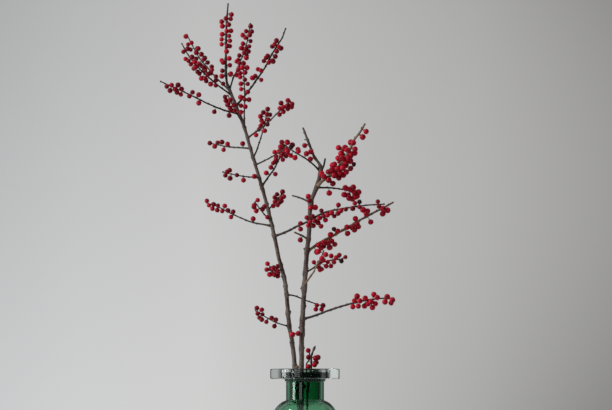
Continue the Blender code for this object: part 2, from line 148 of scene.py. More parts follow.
class Sheet:
    """The node tree of one finish, with one way to add any node."""

    def __init__(self, tree: bpy.types.NodeTree) -> None:
        """Starts with an empty tree."""
        self.tree = tree
        tree.nodes.clear()

    def node(self, kind: str, settings: dict[str, Any] | None = None, sockets: dict[Any, Any] | None = None,
             output: str | int = 0) -> Wire | None:
        """Adds a node.

        Args:
            kind: The node's type.
            settings: Its settings, which are set first; "stops" holds a ramp's (position, colour) pairs.
            sockets: A value or Wire for each input, by its identifier, name or number.
            output: The output to return, by its identifier, name or number.

        Returns:
            The wire from that output, or None where the node ends the tree.
        """
        made = self.tree.nodes.new(kind)
        for key, value in (settings or {}).items():
            if key == "stops":
                self._set_stops(made.color_ramp, value)
            else:
                setattr(made, key, value)
        for key, value in (sockets or {}).items():
            socket = self._find(made.inputs, key)
            if isinstance(value, Wire):
                self.tree.links.new(value.socket, socket)
            elif isinstance(value, tuple) and len(value) == 3 and socket.type == "RGBA":
                socket.default_value = (*value, 1.0)
            else:
                socket.default_value = value
        return Wire(self, self._find(made.outputs, output)) if made.outputs else None

    @staticmethod
    def _find(sockets: Any, key: str | int) -> bpy.types.NodeSocket:
        """Returns the socket with this identifier, name or number.

        Args:
            sockets: The sockets to look through.
            key: The identifier, name or number.

        Returns:
            The socket.
        """
        if isinstance(key, int):
            return sockets[key]
        for socket in sockets:
            if socket.identifier == key:
                return socket
        return sockets[key]

    @staticmethod
    def _set_stops(ramp: bpy.types.ColorRamp, stops: Sequence[tuple[float, Colour]]) -> None:
        """Gives a ramp its stops.

        Args:
            ramp: The ramp.
            stops: The (position, colour) of each stop.
        """
        while len(ramp.elements) < len(stops):
            ramp.elements.new(1.0)
        for element, (position, colour) in zip(ramp.elements, stops):
            element.position = position
            element.color = (*colour, 1.0)

    def blend(self, share: "Wire | float", under: "Wire | Colour", over: "Wire | Colour",
              how: str = "MIX") -> Wire:
        """Mixes two colours.

        Args:
            share: How much of the second colour shows.
            under: The first colour.
            over: The second colour.
            how: The Mix node's way of blending.

        Returns:
            The mixed colour.
        """
        return self.node("ShaderNodeMix", {"data_type": "RGBA", "blend_type": how},
                         {"Factor_Float": share, "A_Color": under, "B_Color": over}, "Result_Color")

    def place(self) -> Wire:
        """Returns the point's place on the piece, in metres."""
        return self.node("ShaderNodeTexCoord", output="Object")

    def part(self, vector: Wire, axis: str) -> Wire:
        """Returns the X, Y or Z of a vector."""
        return self.node("ShaderNodeSeparateXYZ", sockets={"Vector": vector}, output=axis)

    def from_axis(self, vector: Wire) -> Wire:
        """Returns how far a place is from the Z axis."""
        across = self.node("ShaderNodeVectorMath", {"operation": "MULTIPLY"}, {0: vector, 1: (1.0, 1.0, 0.0)})
        return self.node("ShaderNodeVectorMath", {"operation": "LENGTH"}, {0: across}, "Value")

    def stored(self, name: str, output: str = "Fac") -> Wire:
        """Returns a value that the mesh stores at its points."""
        return self.node("ShaderNodeAttribute", {"attribute_name": name}, output=output)

    def scaled(self, vector: Wire, scale: tuple[float, float, float]) -> Wire:
        """Stretches a pattern's coordinates."""
        return self.node("ShaderNodeMapping", sockets={"Vector": vector, "Scale": scale})

    def grain(self, vector: Wire, detail: float, roughness: float = 0.55, distortion: float = 0.0) -> Wire:
        """Returns cloudy noise from 0 to 1, one cloud for each unit of the coordinates.

        Args:
            vector: The coordinates.
            detail: How many finer layers it has.
            roughness: How much the finer layers count.
            distortion: How far the clouds are drawn out of shape.

        Returns:
            The noise.
        """
        return self.node("ShaderNodeTexNoise", sockets={
            "Vector": vector, "Scale": 1.0, "Detail": detail, "Roughness": roughness,
            "Distortion": distortion})

    def clouds(self, count: float, detail: float = 3.0, roughness: float = 0.55,
               distortion: float = 0.0) -> Wire:
        """Returns cloudy noise from 0 to 1 on the piece, with this many clouds to the metre.

        Args:
            count: How many clouds there are to the metre.
            detail: How many finer layers it has.
            roughness: How much the finer layers count.
            distortion: How far the clouds are drawn out of shape.

        Returns:
            The noise.
        """
        return self.grain(self.scaled(self.place(), (count, count, count)), detail, roughness, distortion)

    def bump(self, height: Wire, depth: float, strength: float) -> Wire:
        """Returns the normal of a surface raised by a height, whose 1 stands for the depth in metres."""
        return self.node("ShaderNodeBump", sockets={
            "Height": height, "Distance": depth, "Strength": strength})

    def brightened(self, colour: "Wire | Colour", light: Wire) -> Wire:
        """Returns a colour times a light."""
        return self.node("ShaderNodeVectorMath", {"operation": "SCALE"}, {0: colour, "Scale": light})

    def surface(self, sockets: dict[str, Any]) -> None:
        """Ends the tree in a Principled shader with these sockets."""
        self.node("ShaderNodeOutputMaterial",
                  sockets={"Surface": self.node("ShaderNodeBsdfPrincipled", sockets=sockets)})


def new_sheet(name: str) -> tuple[bpy.types.Material, Sheet]:
    """Makes a material with an empty tree.

    Args:
        name: The material's name.

    Returns:
        The material and its sheet.
    """
    material = bpy.data.materials.new(name)
    material.use_nodes = True
    return material, Sheet(material.node_tree)


# ---- Finishes ----------------------------------------------------------------------------------


@dataclass(frozen=True)
class BarkFinish:
    """Thin bark: a dark skin, a grey bloom over it in streaks and patches, and small raised pores."""

    name: str
    skin: Colour
    bloom: Colour
    pore: Colour
    young: Colour  # what the wood turns to at its tip
    cover: float  # share of the skin that the bloom hides
    streak: float  # width of a streak in mm
    roughness: float = 0.6
    hollow_shade: Colour = (0.45, 0.40, 0.38)  # how much the painted shade in the hollows of the relief darkens it
    relief: float = 0.25  # depth of its relief in mm

    def _grain(self, sheet: Sheet, across: float, along: float) -> Wire:
        """Returns the wood's grain, with this many units to a streak's width, across and along the wood."""
        fine = 1 / (self.streak * MM)
        return sheet.scaled(sheet.stored("grain", "Vector"), (fine * across, fine * across, fine * along))

    def material(self) -> bpy.types.Material:
        """Makes the material, which reads the mesh's grain and share values.

        Returns:
            The material.
        """
        material, sheet = new_sheet(self.name)
        streaks = sheet.grain(self._grain(sheet, 1.0, 0.16), 5.0, 0.62, 0.3)
        patches = sheet.grain(self._grain(sheet, 0.16, 0.05), 3.0, 0.5)
        flecks = sheet.grain(self._grain(sheet, 3.1, 1.6), 2.0, 0.6)
        bloom = streaks * 0.6 + patches * 0.75 + flecks * 0.25
        bloom = bloom.step(1.02 - 0.5 * self.cover, 1.3 - 0.7 * self.cover)
        pores = sheet.node("ShaderNodeTexVoronoi", sockets={
            "Vector": self._grain(sheet, 0.62, 0.4), "Scale": 1.0, "Randomness": 0.9}, output="Distance")
        pores = pores.step(0.26, 0.14)
        colour = sheet.blend(bloom, self.skin, self.bloom)
        # painted shade: the hollows of the relief made darker
        colour = sheet.blend(flecks.step(0.62, 0.4) * 0.55, colour, self.hollow_shade, "MULTIPLY")
        colour = sheet.blend(pores * 0.75, colour, self.pore)
        colour = sheet.blend(sheet.stored("share").step(0.35, 1.0) * 0.7, colour, self.young)
        height = streaks * 0.5 + flecks * 0.2 + pores * 0.9
        sheet.surface({"Base Color": colour, "Roughness": self.roughness + bloom * 0.18,
                       "Specular IOR Level": 0.35, "Normal": sheet.bump(height, self.relief * MM, 0.9)})
        return material


@dataclass(frozen=True)
class CutFinish:
    """A cut end of wood: pale, with its yearly rings."""

    name: str = "cut_wood"
    early: Colour = (0.52, 0.37, 0.22)
    late: Colour = (0.33, 0.20, 0.11)
    rings: float = 9000.0  # how fast the rings follow each other, in radians to the metre
    relief: float = 0.2  # depth of its relief in mm

    def material(self) -> bpy.types.Material:
        """Makes the material, which reads the mesh's grain value.

        Returns:
            The material.
        """
        material, sheet = new_sheet(self.name)
        grain = sheet.stored("grain", "Vector")
        wobble = sheet.clouds(900.0)
        rings = (sheet.from_axis(grain) * self.rings + wobble * 5.0).sine()
        share = (rings * 0.3 + wobble * 0.7).step(0.1, 0.7)
        normal = sheet.bump(wobble + rings * 0.2, self.relief * MM, 0.6)
        sheet.surface({"Base Color": sheet.blend(share, self.late, self.early), "Roughness": 0.8,
                       "Specular IOR Level": 0.25, "Normal": normal})
        return material


@dataclass(frozen=True)
class BudFinish:
    """A resting bud: dark scales with paler edges."""

    name: str = "bud_scales"
    scale: Colour = (0.055, 0.028, 0.022)
    edge: Colour = (0.17, 0.10, 0.07)
    layers: float = 15.0  # how fast the scales follow each other, in radians from foot to tip
    relief: float = 0.15  # depth of its relief in mm

    def material(self) -> bpy.types.Material:
        """Makes the material, which reads the mesh's pole value.

        Returns:
            The material.
        """
        material, sheet = new_sheet(self.name)
        mottle = sheet.clouds(1500.0)
        layers = (sheet.stored("pole") * self.layers + mottle * 4.0).sine()
        edges = (layers * 0.5 + mottle * 0.8).step(0.55, 0.85)
        sheet.surface({"Base Color": sheet.blend(edges, self.scale, self.edge),
                       "Roughness": 0.5 + mottle * 0.2,
                       "Normal": sheet.bump(edges + mottle * 0.5, self.relief * MM, 0.7)})
        return material


@dataclass(frozen=True)
class StalkFinish:
    """A pedicel, green-brown at the wood and dark at the calyx under the drupe."""

    name: str = "pedicel"
    wood_end: Colour = (0.17, 0.095, 0.05)
    calyx: Colour = (0.060, 0.022, 0.014)
    relief: float = 0.12  # depth of its relief in mm

    def material(self) -> bpy.types.Material:
        """Makes the material, which reads the mesh's pole value.

        Returns:
            The material.
        """
        material, sheet = new_sheet(self.name)
        mottle = sheet.clouds(1300.0)
        turn = (sheet.stored("pole") + mottle * 0.5).step(0.55, 1.15)
        sheet.surface({"Base Color": sheet.blend(turn, self.wood_end, self.calyx),
                       "Roughness": 0.55 + mottle * 0.2, "Normal": sheet.bump(mottle, self.relief * MM, 0.6)})
        return material


@dataclass(frozen=True)
class DrupeFinish:
    """The fruit's glossy skin: scarlet to deep crimson by ripeness, with a dark scar at its tip.

    The flower's style stood on that scar. A dried drupe is brown-black, wrinkled and dull.
    """

    name: str = "drupe_skin"
    scarlet: Colour = (0.505, 0.003, 0.022)
    crimson: Colour = (0.175, 0.001, 0.009)
    scar: Colour = (0.020, 0.008, 0.006)
    dried: Colour = (0.030, 0.012, 0.010)
    fleck: Colour = (0.55, 0.5, 0.5)  # how much the finest flecks darken it
    roughness: float = 0.27
    relief: float = 0.18  # depth of its relief in mm

    def material(self) -> bpy.types.Material:
        """Makes the material, which reads the mesh's ripe, pole and dry values.

        Returns:
            The material.
        """
        material, sheet = new_sheet(self.name)
        ripe = sheet.stored("ripe")
        dry = sheet.stored("dry")
        pole = sheet.stored("pole")
        clouds = sheet.clouds(260.0)
        speckle = sheet.clouds(2600.0, 2.0)
        wrinkle = sheet.clouds(700.0, 3.0, 0.6, 1.2)
        shade = (ripe * 0.8 + clouds * 0.4).step(0.95, 0.15)
        colour = sheet.blend(shade, self.scarlet, self.crimson)
        colour = sheet.blend(speckle.step(0.56, 0.7) * 0.35, colour, self.fleck, "MULTIPLY")
        # painted shade: deeper crimson round the stalk end, by the calyx
        colour = sheet.blend(pole.step(0.18, 0.02) * 0.6, colour, self.crimson)
        colour = sheet.blend(dry * (0.75 + wrinkle * 0.3), colour, self.dried)
        scar = pole.step(0.945, 0.985)
        colour = sheet.blend(scar, colour, self.scar)
        rough = self.roughness + speckle * 0.08 + dry * 0.4 + scar * 0.4
        height = speckle * 0.12 + dry * wrinkle * 2.0 + scar * 0.5
        sheet.surface({"Base Color": colour, "Roughness": rough, "Specular IOR Level": 0.18,
                       "Normal": sheet.bump(height, self.relief * MM, 0.7)})
        return material


@dataclass(frozen=True)
class GreenGlass:
    """Bottle glass, nearly clear in the flange, deep green in the thick neck and lighter in the body.

    Its radii, its heights and the depth of its relief are in millimetres.
    """

    name: str = "green_glass"
    flange: Colour = (0.88, 0.95, 0.92)
    lip: Colour = (0.34, 0.44, 0.38)
    neck: Colour = (0.036, 0.345, 0.16)
    body: Colour = (0.29, 0.64, 0.43)
    depth: Colour = (0.004, 0.012, 0.007)  # painted shade: the dark that thick glass shows edge on, as an opaque coat on the bore in the flange and a dark ring at the neck's foot
    neck_radius: float = 30.0
    bore_radius: float = 24.5
    lip_foot: float = 235.0
    neck_top: float = 221.5
    neck_foot: float = 194.0
    relief: float = 1.2

    @staticmethod
    def _change(measure: Wire, mark: float, start: float, end: float) -> Wire:
        """Returns a rise from 0 to 1 between two distances from a mark, all three in millimetres."""
        return measure.step((mark + start) * MM, (mark + end) * MM)

    def material(self) -> bpy.types.Material:
        """Makes the material, whose tint follows the distance from the axis and the height.

        Returns:
            The material.
        """
        material, sheet = new_sheet(self.name)
        place = sheet.place()
        radius = sheet.from_axis(place)
        height = sheet.part(place, "Z")
        sway = sheet.grain(sheet.scaled(place, (38.0, 38.0, 14.0)), 1.0)
        upper = self._change(height, self.neck_foot, -1.5, 1.5)
        # painted shade: a dark ring at the neck's foot, where the glass is seen edge on
        foot = self._change(height, self.neck_foot, -4, -3) * (1.0 - upper)
        top = self._change(height, self.neck_top, -0.5, 1.5)
        lip = self._change(height, self.lip_foot, -1, 1)
        bore = self._change(radius, self.bore_radius, 2, 0)
        tint = sheet.blend(upper, self.body, self.neck)
        tint = sheet.blend(foot * 0.7, tint, self.depth)
        tint = sheet.blend(lip * bore, tint, self.lip)
        tint = sheet.blend(top * self._change(radius, self.neck_radius, 1, 4), tint, self.flange)
        normal = sheet.bump(sway, self.relief * MM, 0.5)
        clear = sheet.node("ShaderNodeBsdfPrincipled", sockets={
            "Base Color": tint, "Roughness": 0.015 + sway * 0.03, "IOR": 1.5,
            "Transmission Weight": 1.0, "Normal": normal})
        # painted shade: an opaque dark coat on the bore inside the flange, for the dark that the thick glass
        # shows edge on
        deep = sheet.node("ShaderNodeBsdfPrincipled", sockets={
            "Base Color": self.depth, "Roughness": 0.3, "Specular IOR Level": 0.1, "Normal": normal})
        share = top * bore * (1.0 - lip) * 0.85
        mixed = sheet.node("ShaderNodeMixShader", sockets={0: share, 1: clear, 2: deep})
        sheet.node("ShaderNodeOutputMaterial", sockets={"Surface": mixed})
        return material


@dataclass(frozen=True)
class Finishes:
    """Every material of the object, made once."""

    bark: dict[Bark, bpy.types.Material]
    cut: bpy.types.Material
    bud: bpy.types.Material
    stalk: bpy.types.Material
    drupe: bpy.types.Material
    glass: bpy.types.Material

    @classmethod
    def make(cls) -> "Finishes":
        """Makes the materials.

        Returns:
            The finishes.
        """
        barks = {
            Bark.STEM: BarkFinish(
                "stem_bark", skin=(0.052, 0.025, 0.020), bloom=(0.222, 0.178, 0.150),
                pore=(0.33, 0.27, 0.21), young=(0.10, 0.065, 0.052), cover=0.62, streak=1.5),
            Bark.TWIG: BarkFinish(
                "twig_bark", skin=(0.034, 0.018, 0.014), bloom=(0.092, 0.068, 0.055),
                pore=(0.22, 0.17, 0.13), young=(0.050, 0.026, 0.022), cover=0.45, streak=0.8),
            Bark.PALE: BarkFinish(
                "pale_twig_bark", skin=(0.155, 0.090, 0.050), bloom=(0.39, 0.275, 0.165),
                pore=(0.42, 0.33, 0.22), young=(0.17, 0.105, 0.063), cover=0.6, streak=0.9),
        }
        return cls({kind: finish.material() for kind, finish in barks.items()}, CutFinish().material(),
                   BudFinish().material(), StalkFinish().material(), DrupeFinish().material(),
                   GreenGlass().material())


# ---- Wood and fruit: where they are ------------------------------------------------------------


@dataclass(frozen=True)
class Wood:
    """A stem, leader or side shoot.

    route is where its pith runs, radii its thickness at the base and the tip. fruit and dried give places of
    drupes as DISTANCE:HOUR, and stubs give the remains of cut twigs as DISTANCE:HOUR:LENGTH:RADIUS. The
    distance is along the route, and the hour is read on a clock round the wood: 12 is the upper side (the
    left one on upright wood), 3 the front, 6 the lower side and 9 the back. HOUR/HOUR stands for drupes at
    one distance, HOUR+5 is one whose pedicel is 5 mm longer than most, and HOUR+-1 one whose is 1 mm shorter.
    """

    name: str
    bearers: tuple[str, ...]
    radii: tuple[float, float]
    route: list[tuple[float, float, float]]
    fruit: str = ""
    bark: Bark = Bark.TWIG
    dried: str = ""
    stubs: str = ""
    cut: bool = False
    tip_bud: tuple[float, float] = (1.55, 2.1)  # its radius and length
    plump: float = 1.02  # size of its drupes as a share of the solid's

    @staticmethod
    def _read(places: str) -> list[tuple[float, float, float]]:
        """Returns the (distance, hour, extra length) triples of a DISTANCE:HOUR/HOUR+EXTRA list.

        Args:
            places: The list.

        Returns:
            The triples, with both lengths in millimetres.
        """
        read = []
        for group in places.split():
            distance, hours = group.split(":")
            for place in hours.split("/"):
                hour, _, extra = place.partition("+")
                read.append((float(distance), float(hour), float(extra or 0)))
        return read

    def drupes(self) -> list[tuple[float, float, float]]:
        """Returns the (distance, hour, extra length of the pedicel) of each drupe."""
        return self._read(self.fruit)

    def dried_drupes(self) -> set[tuple[float, float, float]]:
        """Returns the same of each dried drupe."""
        return set(self._read(self.dried))

    def cut_twigs(self) -> list[tuple[float, ...]]:
        """Returns the (distance, hour, length, radius) of each stub."""
        return [tuple(map(float, stub.split(":"))) for stub in self.stubs.split()]

    def radius_at(self, share: float) -> float:
        """Returns the thickness at a share of the length, in millimetres."""
        return self.radii[0] + (self.radii[1] - self.radii[0]) * share


LEFT = ("left_stem", "left_leader")
RIGHT = ("right_stem", "right_leader")
SPRIG = ("sprig_stem", "sprig_leader")

WOOD = [
    Wood("left_stem", (), (4.1, 2.1), [
        (12, 1, 8.8), (4, 6, 91), (-7, 10, 171), (-15, 13, 242), (-19, 15, 279), (-24, 17, 308),
        (-29.5, 20, 367), (-39, 21, 405), (-46, 20, 439), (-60, 16, 496), (-83, 11, 574), (-91, 10, 602),
        (-102, 10, 631), (-117, 10, 667)], bark=Bark.STEM,
        stubs="232:4.2:4.4:2.9 118:12:1.6:1.4 318:6:1.5:1.3 372:12:1.4:1.2 508:12:1.2:1"),
    Wood("left_leader", ("left_stem",), (1.9, 1.1), [
        (-115, 10, 662), (-119, 9, 681), (-119, 5, 734), (-118, 3, 761), (-116, 0, 788)],
        "19:12 22:6 27:11 35:6 39:2 42:12 45:5 56:3 63:4 64:7 67:12 72:6 74:12 79:5 81:12 86:3 87:6 94:12 "
        "96:4 100:11+2.5 105:3/5 112:6"),
    Wood("left_shoot_01", LEFT, (1.0, 0.7), [
        (-25, 17, 304), (-40, 8, 308), (-55, -2, 315), (-73, -14, 326)],
        "22:6 26:1 34:1.7 37:6 49:6/4 51:3 54:12 55:1 58:11 62:3", plump=0.96),
    Wood("left_shoot_02", LEFT, (1.2, 0.8), [
        (-28, 19, 351), (-16, 27, 350), (1, 37, 343.5), (15, 43, 339), (27, 46, 335)],
        "52:4 53:6+2.5 62:5 65:3"),
    Wood("left_shoot_03", LEFT, (1.0, 0.7), [(-34, 21, 388), (-43, 8, 388), (-49.5, -8, 384.5)],
        "12:12 14:6 18:2 20:7 22:4/6+3 28:12 30:12+4/1/5 33:2 34:12+1.5/8/4"),
    Wood("left_shoot_04", LEFT, (1.8, 1.0), [
        (-46, 20, 439), (-25, 3, 446), (-12, -12, 452), (1, -34, 456), (22, -46, 467), (35, -55, 471),
        (54, -66, 474), (88, -78, 478), (115, -88, 479)],
        "54:6 70:2.7 78:5 81:1 85:3.7/6+2.5 89:4/6+2.5 91:2 92:6+8 99:6 101:4.5 103:6+1.5 106:5 108:1.5 "
        "115:5 124:4 124:6+2.5 131:6 133:12 141:4 145:4 160:3 161:2 166:3 167:12 196:1 198:4.3",
        dried="167:12"),
    Wood("left_shoot_05", LEFT, (1.4, 0.7), [
        (-52, 18, 455), (-82, 35, 462), (-112, 53, 476), (-134, 66, 488), (-150, 75, 494)],
        "29:1 67:1.5 68:5 76:2 86:4 88:12 96:2 98:6 104:3 106:5 112:4 118:2"),
    Wood("left_shoot_06", LEFT, (1.1, 0.7), [
        (-53, 18, 465), (-60, 2, 470), (-68, -16, 479), (-74, -32, 486)],
        "16:3 35:12 38:1.5/6 52:6 58:12 61:4.5"),
    Wood("left_shoot_07", LEFT, (1.1, 0.7), [
        (-56, 17, 478), (-48, 32, 488), (-42, 47, 496), (-36, 63, 506)],
        "9:3 19:2.5 24:5.5 33:5 38:12 40:4 43:11 45:6 50:5 52:12/9 55:3"),
    Wood("left_shoot_08", LEFT, (1.5, 0.8), [
        (-65, 14, 514), (-55, 29, 530), (-47, 44, 543), (-41, 57, 556), (-36, 66, 568), (-31, 72, 581)],
        "29:12 36:6 46:12 56:12 62:2 64:11 72:12 73:3 74:6 77:5 79:12+2 80:2 82:3.5 84:6 88:4 92:11/1"),
    Wood("left_shoot_09", LEFT, (1.1, 0.7), [
        (-70, 13, 527), (-89, -5, 527), (-104, -22, 528), (-121, -44, 530)],
        "12:2 31:5 50:2.5 57:6+1 67:1 74:3 77:3"),
    Wood("left_shoot_10", LEFT, (1.3, 0.8), [
        (-75, 12, 546), (-60, -7, 551), (-47, -26, 556), (-32, -50, 563)], "75:12 78:5"),
    Wood("left_shoot_11", LEFT, (1.3, 0.7), [
        (-78, 12, 557), (-73, 22, 569), (-68, 34, 586), (-64, 44, 602), (-60, 53, 620), (-57, 57, 636)],
        "53:4 56:12 65:12 67:2 70:4 73:12 76:3.5 80:3 81:12+2 84:2 86:6 92:2.5"),
    Wood("left_shoot_12", LEFT, (1.3, 0.8), [
        (-82, 11, 571), (-104, 26, 574), (-120, 42, 577), (-132, 55, 581), (-143, 66, 584)],
        "13:12 40:2 51:6 63:12 68:3.5 74:11 80:3"),
    Wood("left_shoot_13", LEFT, (1.4, 0.8), [
        (-87, 11, 586), (-75, 0, 594), (-64, -12, 600), (-52, -25, 609), (-42, -36, 618), (-31, -46, 627),
        (-22, -54, 634)], "20:5 77:5 86:5 88:1.5 89:1 90:6 93:3 98:3 101:6 105:5 108:2.7"),
    Wood("left_shoot_14", LEFT, (1.2, 0.7), [
        (-91, 10, 601), (-91, -6, 621), (-90, -20, 646), (-91, -33, 672), (-92, -45, 695)],
        "29:12 38:11 40:3 49:6 51:3 53:12 62:4.5 66:12 73:11/6 82:4 86:12 89:11 94:4 99:12/6 101:2 107:12"),
    Wood("left_shoot_15", LEFT, (1.0, 0.7), [
        (-95, 10, 612), (-101, 0, 620), (-108, -9, 633), (-115, -18, 647)],
        "25:3.5 31:6 34:3 36:7 38:5 43:3/6 49:5.5"),
    Wood("left_shoot_16", LEFT, (1.4, 0.8), [
        (-99, 10, 623), (-117, -2, 626), (-140, -17, 633), (-168, -34, 645), (-193, -48, 655),
        (-213, -60, 663)],
        "18:4.5 19:2 41:6+1.3 71:4.5 76:1 88:1.5 90:3 103:5 107:1.5 110:4.5 113:2 117:3 121:5 124:3 127:4"),
    Wood("left_shoot_17", LEFT, (1.7, 1.0), [
        (-104, 10, 635), (-92, 22, 651), (-82, 34, 666), (-68, 47, 688), (-60, 57, 702), (-50, 66, 723),
        (-36, 75, 747), (-30, 80, 763)],
        "61:12 66:6 68:11 76:2 79:12+1 98:4 100:12 104:5 106:12/6 112:11 115:6 122:4 128:12 130:4/2 133:6 "
        "137:1.3"),
    Wood("left_shoot_18", LEFT, (1.3, 0.8), [
        (-111, 10, 652), (-125, 3, 661), (-141, -8, 673), (-157, -19, 687), (-173, -30, 705),
        (-183, -38, 722)],
        "32:4 35:1.5 36:5.3 45:6+1 48:12 51:2/4.5 54:6 58:7 61:12 64:5 70:12 72:6 75:4 81:3 82:5 86:5 "
        "87:2 89:6 102:4.5 103:2"),
    Wood("left_shoot_19", LEFT, (1.2, 0.7), [
        (-115, 10, 660), (-130, 20, 675), (-141, 31, 688), (-150, 42, 700), (-160, 52, 712),
        (-170, 61, 730), (-181, 68, 752)],
        "10:3 28:3 45:2 50:1.5 55:4 58:6 66:5 68:12 72:1 76:6 80:12 84:1.5 86:6 90:2 95:1 101:12 104:6 "
        "111:3 113:6 125:3.5"),
    Wood("left_shoot_20", LEFT, (1.3, 0.7), [
        (-114, 10, 658), (-109, 18, 677), (-103, 28, 692), (-99, 37, 705), (-94, 46, 719), (-89, 54, 737),
        (-86, 59, 754), (-84, 62, 768)],
        "27:12/4 36:3 57:12/6 62:11 68:5 70:12 72:3 74:6 81:4/6 82:1 85:12 90:6 92:11 99:6 101:2 "
        "106:12+2.5 108:4 112:4.5 115:11 119:4"),
    Wood("right_stem", (), (4.3, 3.1), [
        (-8, -6, 8.8), (-7, -11, 99), (-6, -15.5, 179), (-5, -18.6, 242), (-5, -21, 278), (-2, -24, 343),
        (0, -24, 374), (3, -22, 415), (6, -20, 441), (7, -17, 469), (10, -14, 491), (18, -11, 512),
        (23, -7, 532), (23, -5, 543)], bark=Bark.STEM,
        stubs="407:12:2:1.5 348:12:2:1.6 290:12:1.8:1.4 150:6:1.6:1.5 452:12:1.4:1.2"),
    Wood("right_leader", ("right_stem",), (2.2, 1.4), [
        (23, -5.5, 538), (22, -4, 545), (19, -2, 550), (14, 0, 557), (9, 3, 570), (4, 6, 583),
        (-3, 10, 602)], "21:5 29:3.7 44:6", bark=Bark.STEM, cut=True, stubs="51:6:3.2:0.8"),
    Wood("right_shoot_01", RIGHT, (0.9, 0.6), [(-4, -22, 292), (-13, -25, 292), (-21, -26, 293)],
        "7:3 14:3"),
    Wood("right_shoot_02", RIGHT, (1.8, 1.0), [
        (-3, -23, 313), (14, -30, 318), (31, -38, 324), (56, -50, 332), (86, -62, 339), (112, -72, 342),
        (129, -79, 342)],
        "86:3.6 89:2.5 90:3.5 91:12+1 95:2.5 104:6/1.7 107:6 109:6+1.5 112:4 114:5.5+1 115:12 123:2 "
        "136:3.6 140:2.4 143:6 148:3"),
    Wood("right_shoot_03", RIGHT, (1.5, 0.8), [
        (-1, -24, 364), (6, -36, 373), (12, -47, 381), (18, -58, 392), (24, -67, 403), (27, -72, 411)],
        "66:4 75:12/4", bark=Bark.PALE),
    Wood("right_shoot_04", RIGHT, (1.3, 0.8), [
        (1, -24, 382), (13, -12, 390), (27, 2, 399), (41, 14, 403), (54, 25, 405), (62, 33, 410)],
        "21:3.6 25:12 26:5 28:2 33:5.5 34:2 34:5 42:3.6 53:5 54:3.5 58:3 60:11.5 71:3.5 74:12 80:3",
        dried="71:3.5", plump=0.88),
    Wood("right_shoot_05", RIGHT, (2.0, 1.3), [
        (3, -22, 413), (20, -12, 426), (41, 0, 438), (62, 12, 451), (92, 27, 469), (121, 40, 485),
        (133, 45, 492)],
        "14:5.5 19:4 21:5.5 26:3.7 29:6 34:5 38:6+3 40:5 44:6+4.5 44:1.7 57:12 58:2 74:5.5 75:2.3 83:4.3 "
        "86:5 93:3.5 95:1.7 96:5.5 115:12+3/1.7 118:6+2.5 123:12 143:3 144:6 149:5", bark=Bark.PALE,
        dried="57:12 29:6", plump=1.09),
    Wood("right_shoot_06", RIGHT, (1.5, 1.2), [(5, -21, 432), (-5, -32, 437), (-16, -44, 441)], "13:6+-1",
        bark=Bark.PALE, cut=True),
    Wood("right_shoot_07", RIGHT, (1.4, 1.1), [(9, -15, 486), (-4, -2, 494), (-19, 12, 500)], "13:12",
        cut=True),
    Wood("right_shoot_08", RIGHT, (0.9, 0.7), [(8, -15, 478), (9, -22, 480), (10, -28, 484)],
        "8:6+-1.2 11:3+-1 13:9.7+1"),
    Wood("right_shoot_09", RIGHT, (1.5, 0.9), [
        (17, -11, 510), (38, 5, 511), (55, 20, 510), (64, 30, 509), (75, 42, 506)],
        "23:6+1 48:1.7 62:6 62:2 66:1.7 67:3/5 70:4 72:7 73:3 75:6+1 77:4", plump=1.1),
    Wood("right_shoot_10", RIGHT, (2.4, 1.3), [
        (18, -11, 512), (28, -17, 521), (38, -24, 527), (49, -32, 537), (58, -40, 550), (66, -48, 562),
        (72, -54, 576), (80, -59, 586), (88, -62, 599)],
        "17:12+1 20:2 24:5 24:6+2 33:1.5 37:3.3 37:6+3 38:2 38:8 42:6+3.5 43:12 43:4.5 46:1 47:6+5 50:3 "
        "53:10 55:3.5 55:6+6 57:6 58:8 61:12 61:4.5 61:7+8 63:10 64:12/6+1 66:2.5 69:11+9.5 67:4.3 69:8.5 "
        "75:4 77:11 78:12 79:6 80:1 84:5 89:10 94:3 108:6 117:6", bark=Bark.PALE, dried="61:7+8",
        plump=1.1),
    Wood("right_shoot_11", RIGHT, (1.4, 0.8), [
        (23, -6, 535), (8, -14, 548), (-5, -13, 557), (-19, -6, 566), (-33, 2, 577)],
        "32:12 42:2 45:6 49:11 53:6 56:4 57:2 60:12 68:2 72:6 73:2", dried="57:2"),
    Wood("right_shoot_12", RIGHT, (1.4, 1.4), [(23, -7, 531), (28, -13, 543), (30, -15, 552)],
        tip_bud=(1.3, 2.2)),
    Wood("sprig_stem", (), (2.0, 1.7), [(-3, 34, 8.7), (2, 24, 122), (4, 20, 209)], bark=Bark.STEM),
    Wood("sprig_leader", ("sprig_stem",), (1.2, 1.0), [
        (4, 20, 206), (4, 20, 218), (2, 20, 245), (5, 19, 251.7), (7.3, 19, 256), (7, 19, 262),
        (6.2, 20, 267)], "8:1 37:4.5 53:2 62:2.7", plump=1.08),
    Wood("sprig_twig", SPRIG, (1.7, 1.3), [
        (4, 20, 206), (8, 14, 230), (9.7, 11, 245), (9.2, 10, 255), (10.4, 8.5, 262), (12.9, 7, 268.5)],
        "41.8:4.7 44.8:6.8+1 51.8:7+3.8 52.8:5", tip_bud=(2.1, 8.0), plump=1.1),
]


@dataclass
class Drupe:
    """A fruit: its wood, where its pedicel leaves the pith, its middle and its radius, in metres."""

    wood: str
    foot: Vector
    centre: Vector
    radius: float
    dry: bool


def smooth_route(points: Sequence[tuple[float, float, float]], step: float) -> list[Vector]:
    """Draws the smooth curve through points.

    Args:
        points: The points, in millimetres.
        step: How far apart the returned points are, in millimetres.

    Returns:
        Points on the curve, in metres.
    """
    knots = [Vector(p) for p in points]
    knots = [2 * knots[0] - knots[1]] + knots + [2 * knots[-1] - knots[-2]]
    route = [knots[1] * MM]
    for a, b, c, d in zip(knots, knots[1:], knots[2:], knots[3:]):
        count = max(1, round((c - b).length / step))
        for i in range(1, count + 1):
            t = i / count
            point = 2 * b + (c - a) * t + (2 * a - 5 * b + 4 * c - d) * t ** 2
            point = point + (3 * b - a - 3 * c + d) * t ** 3
            route.append(point * MM / 2)
    return route


